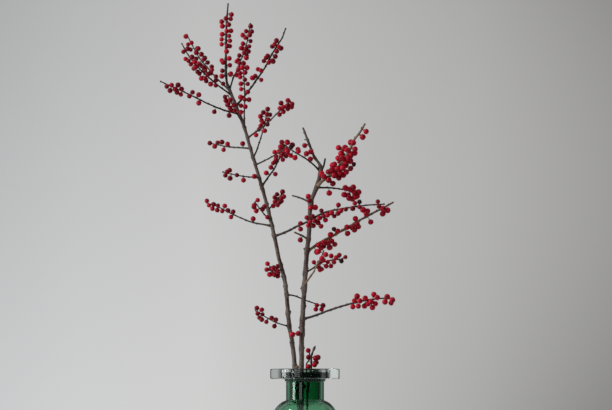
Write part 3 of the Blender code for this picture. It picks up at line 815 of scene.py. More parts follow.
def place_along(route: Sequence[Vector], distance: float) -> tuple[Vector, Vector, float]:
    """Finds a place on a route.

    Args:
        route: Points of the route, in metres.
        distance: How far along it the place is, in metres.

    Returns:
        The point, the direction of the route there, and the share of the route's length.
    """
    total = sum((b - a).length for a, b in zip(route, route[1:]))
    left = min(max(distance, 0.0), total)
    for a, b in zip(route, route[1:]):
        length = (b - a).length
        if left <= length:
            break
        left -= length
    return a.lerp(b, left / length), (b - a).normalized(), min(distance / total, 1.0)


def clock_direction(along: Vector, hour: float) -> Vector:
    """Reads the clock round a piece of wood.

    Args:
        along: The direction in which the wood runs.
        hour: The hour: 12 the upper side, 3 the front, 6 the lower side and 9 the back.

    Returns:
        The direction that the hour points in.
    """
    front = Vector((0.0, -1.0, 0.0))
    front = (front - along * front.dot(along)).normalized()
    side = front.cross(along).normalized()
    if side.dot(Vector((-0.3, 0.0, 1.0))) < 0:
        side = -side
    angle = math.tau * hour / 12
    return side * math.cos(angle) + front * math.sin(angle)


def neighbours(places: Sequence[Vector]) -> KDTree:
    """Returns a tree that finds the places near another, by their numbers.

    Args:
        places: The places, in metres.

    Returns:
        The balanced tree.
    """
    tree = KDTree(len(places))
    for i, place in enumerate(places):
        tree.insert(place, i)
    tree.balance()
    return tree


@dataclass
class Fruiting:
    """All the drupes of the branches, which hang on their pedicels and push each other clear."""

    drupe_radii: tuple[float, ...] = (3.75, 4.15, 3.9)  # on the left branch, the right one and the sprig
    drupe_spread: float = 0.35
    pedicels: tuple[float, ...] = (1.2, 2.0, 1.6)  # their length on each
    pedicel_spread: float = 0.6
    hour_spread: float = 0.5
    reach: float = 11.0  # how far apart two middles can be where they may be too close
    droop: float = 0.18  # how far a drupe's weight turns its pedicel down
    forward: float = 0.22  # how far a pedicel leans towards the shoot's tip
    clear: float = 0.35  # distance to keep between two drupes, and from a drupe to any wood
    rounds: int = 40  # in which drupes that are too close push each other away
    step: float = 3.0
    drupes: list[Drupe] = field(default_factory=list)

    def hang(self, wood: Wood) -> list[Drupe]:
        """Returns the drupes of one stretch of wood, before they settle.

        Args:
            wood: The wood.

        Returns:
            Its drupes.
        """
        draw = random.Random(wood.name)
        branch = ("left", "right", "sprig").index(wood.name.split("_")[0])
        route = smooth_route(wood.route, self.step)
        dried = wood.dried_drupes()
        hung = []
        for distance, hour, extra in wood.drupes():
            pith, along, share = place_along(route, distance * MM)
            radius = self.drupe_radii[branch] + draw.uniform(-self.drupe_spread, self.drupe_spread)
            reach = wood.radius_at(share) + self.pedicels[branch] + extra
            reach = reach + draw.uniform(-self.pedicel_spread, self.pedicel_spread) + radius
            hour_here = hour + draw.uniform(-self.hour_spread, self.hour_spread)
            way = clock_direction(along, hour_here) + along * self.forward
            way = (way.normalized() - UP * self.droop).normalized()
            hung.append(Drupe(wood.name, pith, pith + way * reach * MM, radius * MM,
                              (distance, hour, extra) in dried))
        return hung

    def settle(self, woods: Sequence[Wood]) -> None:
        """Hangs the drupes of all the wood and moves them away from each other and from any wood.

        Args:
            woods: All the wood.
        """
        self.drupes = [drupe for wood in woods for drupe in self.hang(wood)]
        points, radii = [], []
        for wood in woods:
            route = smooth_route(wood.route, self.step)
            points += route
            radii += [wood.radius_at(i / (len(route) - 1)) * MM for i in range(len(route))]
        wood_tree = neighbours(points)
        own_radii = [drupe.radius for drupe in self.drupes]
        for _ in range(self.rounds):
            tree = neighbours([drupe.centre for drupe in self.drupes])
            moves = [Vector() for _ in self.drupes]
            for i, (drupe, move) in enumerate(zip(self.drupes, moves)):
                self._shift(move, drupe, tree, own_radii, i)
                self._shift(move, drupe, wood_tree, radii)
            for drupe, move in zip(self.drupes, moves):
                drupe.centre += move

    def _shift(self, move: Vector, drupe: Drupe, tree: KDTree, radii: Sequence[float], own: int = -1) -> None:
        """Adds to a drupe's move what takes it away from its neighbours.

        Args:
            move: The move.
            drupe: The drupe.
            tree: The middles of what it may touch.
            radii: Their radii in metres.
            own: The drupe's own number among them, if it has one.
        """
        for place, i, distance in tree.find_range(drupe.centre, self.reach * MM):
            room = distance - drupe.radius - radii[i] - self.clear * MM
            if i != own and room < 0:
                move += (drupe.centre - place).normalized() * -room / 2

    def on(self, wood: Wood) -> list[Drupe]:
        """Returns the settled drupes of one stretch of wood."""
        return [drupe for drupe in self.drupes if drupe.wood == wood.name]


# ---- Meshes ------------------------------------------------------------------------------------


def set_down(place: Vector, turn: Quaternion, wide: float = 1.0, long: float | None = None) -> Matrix:
    """Returns the matrix that carries a shape from the origin to its place.

    Args:
        place: Where its middle goes, in metres.
        turn: The turn that carries Z to the direction in which it stands.
        wide: How many times wider it becomes.
        long: How many times longer it becomes, where that differs.

    Returns:
        The matrix.
    """
    size = Matrix.Diagonal((wide, wide, wide if long is None else long, 1.0))
    return Matrix.Translation(place) @ turn.to_matrix().to_4x4() @ size


def add_object(name: str, data: bpy.types.ID) -> bpy.types.Object:
    """Puts a mesh, lamp or camera into the scene.

    Args:
        name: The object's name.
        data: The mesh, lamp or camera.

    Returns:
        The object, at the origin.
    """
    made = bpy.data.objects.new(name, data)
    bpy.context.scene.collection.objects.link(made)
    return made


def add_mesh(name: str, solid: bmesh.types.BMesh,
             materials: Sequence[bpy.types.Material]) -> bpy.types.Object:
    """Puts a bmesh into the scene.

    Args:
        name: The object's name.
        solid: The bmesh, which is used up.
        materials: Its materials, by number.

    Returns:
        The object, at the origin.
    """
    mesh = bpy.data.meshes.new(name)
    solid.to_mesh(mesh)
    solid.free()
    for material in materials:
        mesh.materials.append(material)
    return add_object(name, mesh)


BARK, CUT, BUD = range(3)  # the numbers of a limb's materials
SKIN, STALK = range(2)  # and of its drupes'


class Shape:
    """A bmesh that grows into one piece, with the values that its finishes read."""

    def __init__(self) -> None:
        """Starts empty, with the layers that the finishes read."""
        self.solid = bmesh.new()
        points = self.solid.verts.layers
        self.grain = points.float_vector.new("grain")
        self.share = points.float.new("share")
        self.pole = points.float.new("pole")
        self.ripe = points.float.new("ripe")
        self.dry = points.float.new("dry")

    @staticmethod
    def faces_of(corners: Iterable[bmesh.types.BMVert]) -> set[bmesh.types.BMFace]:
        """Returns the faces round some corners."""
        return {face for corner in corners for face in corner.link_faces}

    @staticmethod
    def paint(faces: Iterable[bmesh.types.BMFace], material: int) -> None:
        """Gives faces the material with this number."""
        for face in faces:
            face.material_index = material

    def tube(self, frames: Sequence[Matrix], sides: int, material: int = 0, end_material: int | None = None,
             shares: Sequence[float] | None = None) -> list[list[bmesh.types.BMVert]]:
        """Grows a closed tube, ring by ring.

        Args:
            frames: For each ring, the matrix that carries a circle of radius 1 to it.
            sides: The number of corners in a ring.
            material: The number of the tube's material.
            end_material: The number of the far end's material, where it differs.
            shares: The share value of each ring.

        Returns:
            The corners of each ring.
        """
        corners = bmesh.ops.create_circle(self.solid, cap_ends=True, segments=sides, radius=1.0,
                                          matrix=frames[0])["verts"]
        self.paint(self.faces_of(corners), material)
        edges = list({edge for corner in corners for edge in corner.link_edges})
        rings = [corners]
        for before, after in zip(frames, frames[1:]):
            grown = bmesh.ops.extrude_edge_only(self.solid, edges=edges)["geom"]
            corners = [part for part in grown if isinstance(part, bmesh.types.BMVert)]
            new = set(corners)
            edges = [part for part in grown if isinstance(part, bmesh.types.BMEdge)
                     and part.verts[0] in new and part.verts[1] in new]
            self.paint((part for part in grown if isinstance(part, bmesh.types.BMFace)), material)
            bmesh.ops.transform(self.solid, matrix=after @ before.inverted(), verts=corners)
            rings.append(corners)
        end = bmesh.ops.contextual_create(self.solid, geom=edges)["faces"]
        self.paint(end, material if end_material is None else end_material)
        length = 0.0
        for i, (frame_here, ring) in enumerate(zip(frames, rings)):
            if i:
                length += (frame_here.translation - frames[i - 1].translation).length
            radius = frame_here.col[0].to_3d().length
            back = frame_here.inverted()
            for corner in ring:
                local = back @ corner.co
                corner[self.grain] = Vector((local.x * radius, local.y * radius, length))
                corner[self.share] = shares[i] if shares else 0.0
                corner[self.pole] = i / (len(frames) - 1)
        return rings

    def ball(self, place: Matrix, around: int, high: int, material: int, taper: float = 0.0,
             dimple: float = 0.0) -> list[bmesh.types.BMVert]:
        """Adds a ball, which reaches from its pole value 0 at the bottom to 1 at the top.

        Args:
            place: The matrix that carries a ball of radius 1 to its place.
            around: The number of faces round it.
            high: The number of faces up it.
            material: The number of its material.
            taper: How far it narrows to a point at the top.
            dimple: How far its poles are pressed in.

        Returns:
            Its corners.
        """
        made = bmesh.ops.create_uvsphere(self.solid, u_segments=around, v_segments=high, radius=1.0)
        corners = made["verts"]
        for corner in corners:
            up = corner.co.z
            corner[self.pole] = 0.5 + up / 2
            if taper and up > 0:
                width = 1 - taper * up ** 1.5
                corner.co.x *= width
                corner.co.y *= width
            if dimple and abs(up) > 0.999:  # the poles themselves
                corner.co.z *= 1 - dimple
        self.paint(self.faces_of(corners), material)
        bmesh.ops.transform(self.solid, matrix=place, verts=corners)
        return corners

    def disc(self, place: Matrix, sides: int, lower: float, upper: float, height: float, material: int,
             lobes: float = 0.0) -> None:
        """Adds a low cone, with every other corner drawn out where it has lobes.

        Args:
            place: The matrix that carries it to its place from the origin, where it stands up along Z.
            sides: The number of its sides.
            lower: Its lower radius in metres.
            upper: Its upper radius in metres.
            height: Its height in metres.
            material: The number of its material.
            lobes: How far every other corner is drawn out, as a share of the radius.
        """
        corners = bmesh.ops.create_cone(self.solid, cap_ends=True, segments=sides, radius1=lower,
                                        radius2=upper, depth=height)["verts"]
        side = math.tau / sides
        for corner in corners:
            corner[self.pole] = 1.0
            turn = math.atan2(corner.co.y, corner.co.x) % (2 * side)
            if lobes and abs(turn - side) > 0.5 * side:
                corner.co.x *= 1 + lobes
                corner.co.y *= 1 + lobes
        self.paint(self.faces_of(corners), material)
        bmesh.ops.transform(self.solid, matrix=place, verts=corners)

    def piece(self, name: str, materials: Sequence[bpy.types.Material]) -> bpy.types.Object:
        """Makes the finished object.

        Args:
            name: The piece's name.
            materials: Its materials, by number.

        Returns:
            The object, at the origin, with its place in its mesh.
        """
        bmesh.ops.recalc_face_normals(self.solid, faces=self.solid.faces)
        for face in self.solid.faces:
            face.smooth = True
        return add_mesh(name, self.solid, materials)


def turns_along(route: Sequence[Vector]) -> list[Quaternion]:
    """Returns, for each point of a route, the turn that carries Z along it, without twist between them.

    Args:
        route: The points, in metres.

    Returns:
        The turns.
    """
    ways = [(b - a).normalized() for a, b in zip(route, route[1:])]
    ways = [ways[0]] + [(a + b).normalized() for a, b in zip(ways, ways[1:])] + [ways[-1]]
    turn = UP.rotation_difference(ways[0])
    turns = [turn]
    for before, after in zip(ways, ways[1:]):
        turn = before.rotation_difference(after) @ turn
        turns.append(turn)
    return turns


@dataclass(frozen=True)
class BudForm:
    """What a resting bud and the leaf scar under it look like, with lengths as shares of the bud's size."""

    size: tuple[float, float] = (0.75, 1.1)  # in mm
    on_stout: float = 1.35  # how much larger the buds of stout wood are
    way: tuple[float, float] = (0.75, 0.85)  # how far it points outwards and along the wood
    radius: float = 0.52
    half_length: float = 0.85
    lift: float = 0.45  # from the bark to its middle
    taper: float = 0.55
    faces: tuple[int, int] = (6, 5)  # round it and up it
    scar_way: tuple[float, float] = (0.9, -0.35)
    scar_radii: tuple[float, float] = (0.75, 0.45)
    scar_height: float = 0.55
    scar_drop: float = 0.75  # how far below the bud the scar is
    scar_sides: int = 7
    tip_lift: float = 0.3  # from the tip to its own bud's middle, as a share of that bud's length
    tip_half_length: float = 0.6  # so its foot is in the wood, and it stands out by 0.9 of the length
    tip_taper: float = 0.6
    tip_faces: tuple[int, int] = (8, 7)

    def add(self, shape: Shape, bark: Vector, out: Vector, along: Vector, size: float) -> None:
        """Adds a bud over its leaf scar.

        Args:
            shape: The shape that it belongs to.
            bark: The point of the bark that it sits on.
            out: The direction away from the wood.
            along: The direction in which the wood runs.
            size: Its size.
        """
        way = (out * self.way[0] + along * self.way[1]).normalized()
        place = set_down(bark + way * self.lift * size * MM, UP.rotation_difference(way),
                         self.radius * size * MM, self.half_length * size * MM)
        shape.ball(place, *self.faces, BUD, self.taper)
        way = (out * self.scar_way[0] + along * self.scar_way[1]).normalized()
        place = set_down(bark - along * self.scar_drop * size * MM, UP.rotation_difference(way))
        lower, upper = (radius * size * MM for radius in self.scar_radii)
        shape.disc(place, self.scar_sides, lower, upper, self.scar_height * size * MM, BARK)

    def add_tip(self, shape: Shape, tip: Vector, along: Vector, radius: float, length: float) -> None:
        """Adds the bud at the wood's tip, whose radius and length are in millimetres.

        Args:
            shape: The shape that it belongs to.
            tip: The tip of the wood's pith.
            along: The direction in which the wood runs there.
            radius: Its radius.
            length: Its length.
        """
        middle = tip + along * (self.tip_lift * length) * MM
        place = set_down(middle, UP.rotation_difference(along), radius * MM,
                         length * self.tip_half_length * MM)
        shape.ball(place, *self.tip_faces, BUD, self.tip_taper)


@dataclass(frozen=True)
class FruitForm:
    """What a drupe, its calyx and its bowed pedicel look like."""

    shrunk: float = 0.94  # size of a dried drupe as a share of the solid's
    sag: float = 0.25  # how far the drupe turns down from its pedicel, at most
    squat: tuple[float, float] = (0.93, 1.0)  # its half length in its radii
    dimple: float = 0.07
    faces: tuple[int, int] = (11, 7)  # round it and up it
    wrinkle: float = 0.22  # depth of a dried drupe's wrinkles in its radii
    wrinkle_pitch: float = 0.7  # how many of them there are to the millimetre
    calyx_radii: tuple[float, float] = (0.75, 1.35)
    calyx_height: float = 0.55
    calyx_drop: float = 0.10  # from the drupe's foot to the calyx's middle
    calyx_lobes: float = 0.28
    calyx_sides: int = 8
    pedicel_drop: float = 0.25  # from the drupe's foot to the pedicel's end
    pedicel_rings: int = 6
    pedicel_sides: int = 5
    pedicel_radius: float = 0.42
    pedicel_foot: float = 0.38  # how much thicker it is at the wood
    pedicel_end: float = 0.22  # and at the calyx
    bow: float = 0.05  # how far it bows, as a share of its length

    def add(self, shape: Shape, drupe: Drupe, plump: float, ripe: float, draw: random.Random) -> None:
        """Adds one drupe with its calyx and its pedicel.

        Args:
            shape: The shape that it belongs to.
            drupe: The drupe.
            plump: Its size as a share of the solid's.
            ripe: How ripe it is, from 0 to 1.
            draw: Where its chances are drawn.
        """
        way = (drupe.centre - drupe.foot).normalized()
        reach = (drupe.centre - drupe.foot).length
        side = way.cross(Vector((draw.uniform(-1, 1), draw.uniform(-1, 1), 0.4))).normalized()
        hang = (way - UP * draw.uniform(0.0, self.sag)).normalized()
        turn = UP.rotation_difference(hang)
        radius = drupe.radius * (self.shrunk if drupe.dry else plump)
        place = set_down(drupe.centre, turn, radius, radius * draw.uniform(*self.squat))
        corners = shape.ball(place, *self.faces, SKIN, dimple=self.dimple)
        for corner in corners:
            corner[shape.ripe] = ripe
            corner[shape.dry] = 1.0 if drupe.dry else 0.0
            if drupe.dry:
                rise = noise.noise(corner.co / MM * self.wrinkle_pitch)
                corner.co += (corner.co - drupe.centre) * self.wrinkle * rise
        base = drupe.centre - hang * radius
        place = set_down(base - hang * self.calyx_drop * MM, turn)
        lower, upper = (radius * MM for radius in self.calyx_radii)
        shape.disc(place, self.calyx_sides, lower, upper, self.calyx_height * MM, STALK, self.calyx_lobes)
        frames = []
        last = base - hang * self.pedicel_drop * MM
        for i in range(self.pedicel_rings):
            t = i / (self.pedicel_rings - 1)
            wide = self.pedicel_radius + self.pedicel_foot * (1 - t) ** 4 + self.pedicel_end * t ** 5
            point = drupe.foot.lerp(last, t) + side * math.sin(math.pi * t) * reach * self.bow
            turn = way.rotation_difference(hang).slerp(Quaternion(), 1 - t) @ UP.rotation_difference(way)
            frames.append(set_down(point, turn, wide * MM))
        shape.tube(frames, self.pedicel_sides, STALK)


@dataclass
class Limb:
    """One stem, leader or side shoot: knotty wood with stubs and buds, and drupes on their pedicels."""

    wood: Wood
    drupes: list[Drupe]
    children: list[Vector]  # where other wood leaves this
    finishes: Finishes
    bud: BudForm = BudForm()
    fruit: FruitForm = FruitForm()
    ring_step: float = 2.4
    stem_sides: int = 14
    shoot_sides: int = 9
    stub_sides: int = 9
    thin: float = 1.8  # wood thinner than this at its base has a shoot's sides
    collar: float = 0.5  # how much thicker a shoot's foot is than its base
    collar_start: float = 3.2  # how far from the bearer's pith the foot is
    collar_length: float = 2.4
    bud_gap: tuple[float, float] = (8.0, 15.0)
    bud_spread: float = 1.2  # in hours
    stem_gap: float = 3.2  # how much further apart a stem's buds are
    bare: tuple[float, float, float] = (90.0, 9.0, 5.0)  # without buds: a stem's foot, a shoot's foot, a tip
    swelling: float = 0.16  # how much thicker the wood is at a node
    most_swelling: float = 1.4  # in nodes, where several are close together
    node_length: float = 1.6  # of thin wood; twice as much of stout wood
    node_reach: float = 9.0
    node_sizes: tuple[float, float, float, float] = (1.0, 0.6, 1.6, 1.5)  # at buds, drupes, stubs and forks
    sway: float = 0.16  # how far the wood strays from its route, in its radii
    sway_pitch: float = 0.09  # how often it does so to the millimetre
    sway_rings: int = 3  # rings at the foot in which it sets in
    relief: Rows = (  # the bark's: height in the wood's radii, pitch across and along it, where it is read
        (0.09, 0.9, 0.13, 0.0), (0.07, 0.5, 0.42, 40.0))
    round_tip: Rows = ((0.45, 0.84), (0.75, 0.48))  # how far ahead and how wide, in the tip's radii
    cut_tip: Rows = ((0.10, 0.94), (0.14, 0.80))
    stub_lean: float = 0.55  # how far a stub points along the wood
    stub_rings: Rows = (  # how far out, in the wood's radii and the stub's lengths, and how wide
        (0.0, 0.0, 1.25), (0.9, 0.0, 1.18), (1.0, 0.35, 1.0), (1.0, 0.9, 0.97), (1.0, 1.0, 0.86))
    ripe: tuple[float, float] = (0.3, 0.7)  # how ripe the drupes of one limb are together
    ripe_right: float = 0.2  # how much riper they are on the right branch
    ripe_left: float = -0.1  # and on the rest
    ripe_spread: float = 0.42

    def __post_init__(self) -> None:
        """Reads the route, and draws the places of the buds."""
        self.route = smooth_route(self.wood.route, self.ring_step)
        self.draw = random.Random(self.wood.name + " wood")
        steps = [(b - a).length / MM for a, b in zip(self.route, self.route[1:])]
        self.at = [sum(steps[:i]) for i in range(len(self.route))]
        self.length = self.at[-1]
        self.stout = self.wood.radii[0] > self.thin
        self.stem = not self.wood.bearers
        self.buds = self._place_buds()
        forks = [min(range(len(self.route)), key=lambda i: (self.route[i] - child).length)
                 for child in self.children]
        places = (self.buds, self.wood.drupes(), self.wood.cut_twigs(), [(self.at[i],) for i in forks])
        self.nodes = [(distance, size) for size, group in zip(self.node_sizes, places)
                      for distance, *_ in group]

    def _place_buds(self) -> list[tuple[float, float]]:
        """Draws the (distance, hour) of the buds, on one side and then the other.

        Returns:
            The places of the buds.
        """
        buds = []
        stem_foot, shoot_foot, tip = self.bare
        distance, gap = (stem_foot, self.stem_gap) if self.stem else (shoot_foot, 1.0)
        side = self.draw.choice((0.0, 6.0))
        while True:
            distance += self.draw.uniform(*self.bud_gap) * gap
            if distance > self.length - tip:
                return buds
            buds.append((distance, side + self.draw.uniform(-self.bud_spread, self.bud_spread)))
            side = 6.0 - side

    def thickness(self, distance: float) -> float:
        """Returns the radius of the wood at a distance along it, both in millimetres.

        Args:
            distance: The distance.

        Returns:
            The radius.
        """
        radius = self.wood.radius_at(distance / self.length)
        length = self.node_length * (2 if self.stout else 1)
        bulge = sum(size * math.exp(-((distance - place) / length) ** 2)
                    for place, size in self.nodes if abs(distance - place) < self.node_reach)
        radius *= 1 + self.swelling * min(bulge, self.most_swelling)
        if not self.stem:
            beyond = max(0.0, distance - self.collar_start)
            radius *= 1 + self.collar * math.exp(-beyond / self.collar_length)
        return radius

    def _grow_wood(self, shape: Shape) -> None:
        """Grows the tube of the wood, with a rounded or a cut tip.

        Args:
            shape: The shape that the wood is in.
        """
        turns = turns_along(self.route)
        frames, shares = [], []
        for i, (point, turn) in enumerate(zip(self.route, turns)):
            radius = self.thickness(self.at[i])
            across, deep = (noise.noise(Vector((self.at[i] * self.sway_pitch, row, len(self.wood.name))))
                            for row in (3.1, 7.7))
            sway = turn @ Vector((across, deep, 0.0)) * radius * self.sway
            offset = sway * min(i, self.sway_rings) / self.sway_rings
            frames.append(set_down(point + offset * MM, turn, radius * MM))
            shares.append(self.at[i] / self.length)
        tip = self.wood.radii[1] * MM
        along = turns[-1] @ UP
        end = frames[-1].translation
        for ahead, narrow in self.cut_tip if self.wood.cut else self.round_tip:
            frames.append(set_down(end + along * tip * ahead, turns[-1], tip * narrow))
            shares.append(1.0)
        sides = self.stem_sides if self.stout else self.shoot_sides
        rings = shape.tube(frames, sides, BARK, CUT if self.wood.cut else None, shares)
        self._roughen(shape, rings[1:-1], frames[1:-1])
        if self.stem:
            shape.paint((face for face in shape.faces_of(rings[0]) if len(face.verts) == sides), CUT)

    def _roughen(self, shape: Shape, rings: Sequence[list[bmesh.types.BMVert]],
                 frames: Sequence[Matrix]) -> None:
        """Gives the bark low ridges and knobs, in the mesh itself.

        Args:
            shape: The shape that the wood is in.
            rings: The corners of each ring.
            frames: The frame of each ring.
        """
        for ring, frame_here in zip(rings, frames):
            for corner in ring:
                x, y, z = corner[shape.grain] / MM
                rise = sum(height * noise.noise(Vector((x * across, y * across, z * along + start)))
                           for height, across, along, start in self.relief)
                corner.co += (corner.co - frame_here.translation) * rise

    def _add_stubs(self, shape: Shape) -> None:
        """Adds what is left of twigs that were cut off or broken.

        Args:
            shape: The shape that the wood is in.
        """
        for distance, hour, length, radius in self.wood.cut_twigs():
            pith, along, _ = place_along(self.route, distance * MM)
            way = (clock_direction(along, hour) + along * self.stub_lean).normalized()
            turn = UP.rotation_difference(way)
            here = self.thickness(distance)
            frames = [set_down(pith + way * (here * radii + length * lengths) * MM, turn, radius * wide * MM)
                      for radii, lengths, wide in self.stub_rings]
            shape.tube(frames, self.stub_sides, BARK, CUT)

    def _add_buds(self, shape: Shape) -> None:
        """Adds a bud over a leaf scar at each node, and one at the tip.

        Args:
            shape: The shape that the wood is in.
        """
        for distance, hour in self.buds:
            pith, along, _ = place_along(self.route, distance * MM)
            out = clock_direction(along, hour)
            size = self.draw.uniform(*self.bud.size) * (self.bud.on_stout if self.stout else 1.0)
            self.bud.add(shape, pith + out * self.thickness(distance) * MM, out, along, size)
        if not self.wood.cut and not self.stem:
            along = (self.route[-1] - self.route[-2]).normalized()
            self.bud.add_tip(shape, self.route[-1], along, *self.wood.tip_bud)

    def build_wood(self) -> bpy.types.Object:
        """Makes the wood, which stands for the frame's node.

        Returns:
            The piece.
        """
        shape = Shape()
        self._grow_wood(shape)
        self._add_stubs(shape)
        self._add_buds(shape)
        materials = [self.finishes.bark[self.wood.bark], self.finishes.cut, self.finishes.bud]
        piece = shape.piece(self.wood.name + "_wood", materials)
        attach(piece, BODY)
        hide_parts(self.wood.name)
        return piece

    def build_drupes(self) -> bpy.types.Object:
        """Makes the drupes of this wood as one piece.

        Returns:
            The piece.
        """
        shape = Shape()
        right = self.wood.name.startswith("right")
        common = self.draw.uniform(*self.ripe) + (self.ripe_right if right else self.ripe_left)
        for drupe in self.drupes:
            ripe = common + self.draw.uniform(-self.ripe_spread, self.ripe_spread)
            self.fruit.add(shape, drupe, self.wood.plump, min(1.0, max(0.0, ripe)), self.draw)
        piece = shape.piece(self.wood.name + "_drupes", [self.finishes.drupe, self.finishes.stalk])
        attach(piece, BODY)
        return piece

    def build(self) -> list[bpy.types.Object]:
        """Makes the wood and, where it bears any, its drupes.

        Returns:
            The pieces.
        """
        made = [self.build_wood()]
        if self.drupes:
            made.append(self.build_drupes())
        return made


@dataclass
class Branches:
    """Both branches and the sprig, limb by limb."""

    woods: list[Wood]
    finishes: Finishes

    def build(self) -> list[bpy.types.Object]:
        """Makes every limb.

        Returns:
            The pieces.
        """
        fruiting = Fruiting()
        fruiting.settle(self.woods)
        made = []
        for wood in self.woods:
            children = [Vector(other.route[0]) * MM for other in self.woods if wood.name in other.bearers[:1]]
            made += Limb(wood, fruiting.on(wood), children, self.finishes).build()
        return made


@dataclass
class BottleVase:
    """The vase: a body with a rounded shoulder, a short neck and a wide flat flange."""

    finishes: Finishes
    height: float
    flange_radius: float
    flange_thickness: float = 15.0
    collar_radius: float = 30.3  # of the low ring under the flange
    collar_curves: tuple[float, ...] = (1.5, 2.5, 3.6, 4.2, 5.0)  # how far under the flange they bend and end
    neck_radius: float = 28.0
    bore_radius: float = 23.7
    neck_foot: float = 194.0
    body_radius: float = 52.0
    wall: float = 4.0
    floor: float = 8.0
    floor_round: tuple[float, float] = (10.0, 12.0)  # how far its edge is rounded, inwards and upwards
    shoulder: float = 150.0  # where the body starts to narrow
    shoulder_inside: float = 148.0
    shoulder_rise: float = 8.0  # from the corner of the shoulder's curve to the neck's foot
    foot_radius: float = 40.0
    foot_height: float = 16.0
    lip: float = 3.0  # how far the flange's edges are rounded, at the bore
    rim: float = 2.0  # and outside
    land: float = 1.0  # length of the straight piece that ends each side
    facets: int = 128
    seam: float = 0.22  # how far the two mould seams stand out
    seam_foot: float = 12.0
    seam_half: float = 0.4  # half the width in which a corner counts as the seam's

    @staticmethod
    def bend(start: tuple[float, float], corner: tuple[float, float], end: tuple[float, float],
             steps: int) -> list[tuple[float, float]]:
        """Rounds a corner of the section.

        Args:
            start: Where the curve leaves the first side.
            corner: Where the two sides would meet.
            end: Where the curve joins the second side.
            steps: The number of its steps.

        Returns:
            The (radius, height) of its points.
        """
        points = []
        for i in range(steps + 1):
            t = i / steps
            points.append(tuple(
                (1 - t) ** 2 * a + 2 * t * (1 - t) * b + t ** 2 * c for a, b, c in zip(start, corner, end)))
        return points

    def section(self) -> list[tuple[float, float]]:
        """Returns the section's points, up the inside, over the flange and down the outside.

        Returns:
            The (radius, height) of each.
        """
        inside = self.body_radius - self.wall
        under = self.height - self.flange_thickness
        flange, bore, neck, body = self.flange_radius, self.bore_radius, self.neck_radius, self.body_radius
        top, foot, floor, collar = self.height, self.neck_foot, self.floor, self.collar_radius
        lip, rim, land = self.lip, self.rim, self.land
        section = [(0.0, floor)]
        inwards, upwards = self.floor_round
        section += self.bend((inside - inwards, floor), (inside, floor), (inside, floor + upwards), 8)
        section += self.bend((inside, self.shoulder_inside), (inside - 1.5, foot - 12), (bore, foot - 3), 18)
        section += [(bore, foot), (bore, top - (lip + land))]
        section += self.bend((bore, top - lip), (bore, top), (bore + lip, top), 8)
        section += [(bore + (lip + land), top), (flange - (rim + land), top)]
        section += self.bend((flange - rim, top), (flange, top), (flange, top - rim), 7)
        section += [(flange, top - (rim + land)), (flange, under + (rim + land))]
        section += self.bend((flange, under + rim), (flange, under), (flange - rim, under), 7)
        section += [(flange - (rim + land), under), (collar + (rim + land), under)]
        edge, waist, corner, curved, straight = (under - drop for drop in self.collar_curves)
        section += self.bend((collar + rim, under), (collar, under), (collar, edge), 5)
        section += self.bend((collar, waist), (collar, corner), (neck, curved), 6)
        section += [(neck, straight), (neck, foot + land)]
        section += self.bend((neck, foot), (body - 1, foot - self.shoulder_rise), (body, self.shoulder), 18)
        section += self.bend((body, self.foot_height), (body, 0), (self.foot_radius, 0), 9)
        section.append((0.0, 0.0))
        return section

    def build(self) -> bpy.types.Object:
        """Spins the section, raises the mould seams and dresses the vase.

        Returns:
            The piece.
        """
        shape = Shape()
        solid = shape.solid
        corners = [solid.verts.new((r * MM, 0.0, z * MM)) for r, z in self.section()]
        edges = [solid.edges.new(pair) for pair in zip(corners, corners[1:])]
        bmesh.ops.spin(solid, geom=corners + edges, cent=(0, 0, 0), axis=(0, 0, 1), angle=math.tau,
                       steps=self.facets, use_merge=True, use_duplicate=False)
        bmesh.ops.remove_doubles(solid, verts=solid.verts, dist=0.00001)
        for corner in solid.verts:
            radius = math.hypot(corner.co.x, corner.co.y) / MM
            height = corner.co.z / MM
            on_body = radius > self.body_radius - 3 and height < self.neck_foot - 1
            on_neck = abs(radius - self.neck_radius) < 0.5
            free = self.seam_foot < height < self.height - self.flange_thickness - 2
            if (on_body or on_neck) and free and abs(corner.co.y) < self.seam_half * MM:
                corner.co.x *= 1 + self.seam / radius
        piece = shape.piece("bottle_vase", [self.finishes.glass])
        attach(piece, BODY)
        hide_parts("vase")
        return piece


# ---- Studio ------------------------------------------------------------------------------------


@dataclass(frozen=True)
class Lamp:
    """An upright soft lamp that looks at a point."""

    name: str
    place: tuple[float, float, float]
    target: tuple[float, float, float]
    width: float
    height: float
    power: float

    def build(self) -> None:
        """Puts the lamp up."""
        data = bpy.data.lights.new(self.name, "AREA")
        data.shape = "RECTANGLE"
        data.size = self.width
        data.size_y = self.height
        data.energy = self.power
        lamp = add_object(self.name, data)
        lamp.location = self.place
        way = Vector(self.target) - Vector(self.place)
        lamp.rotation_euler = way.to_track_quat("-Z", "Y").to_euler()


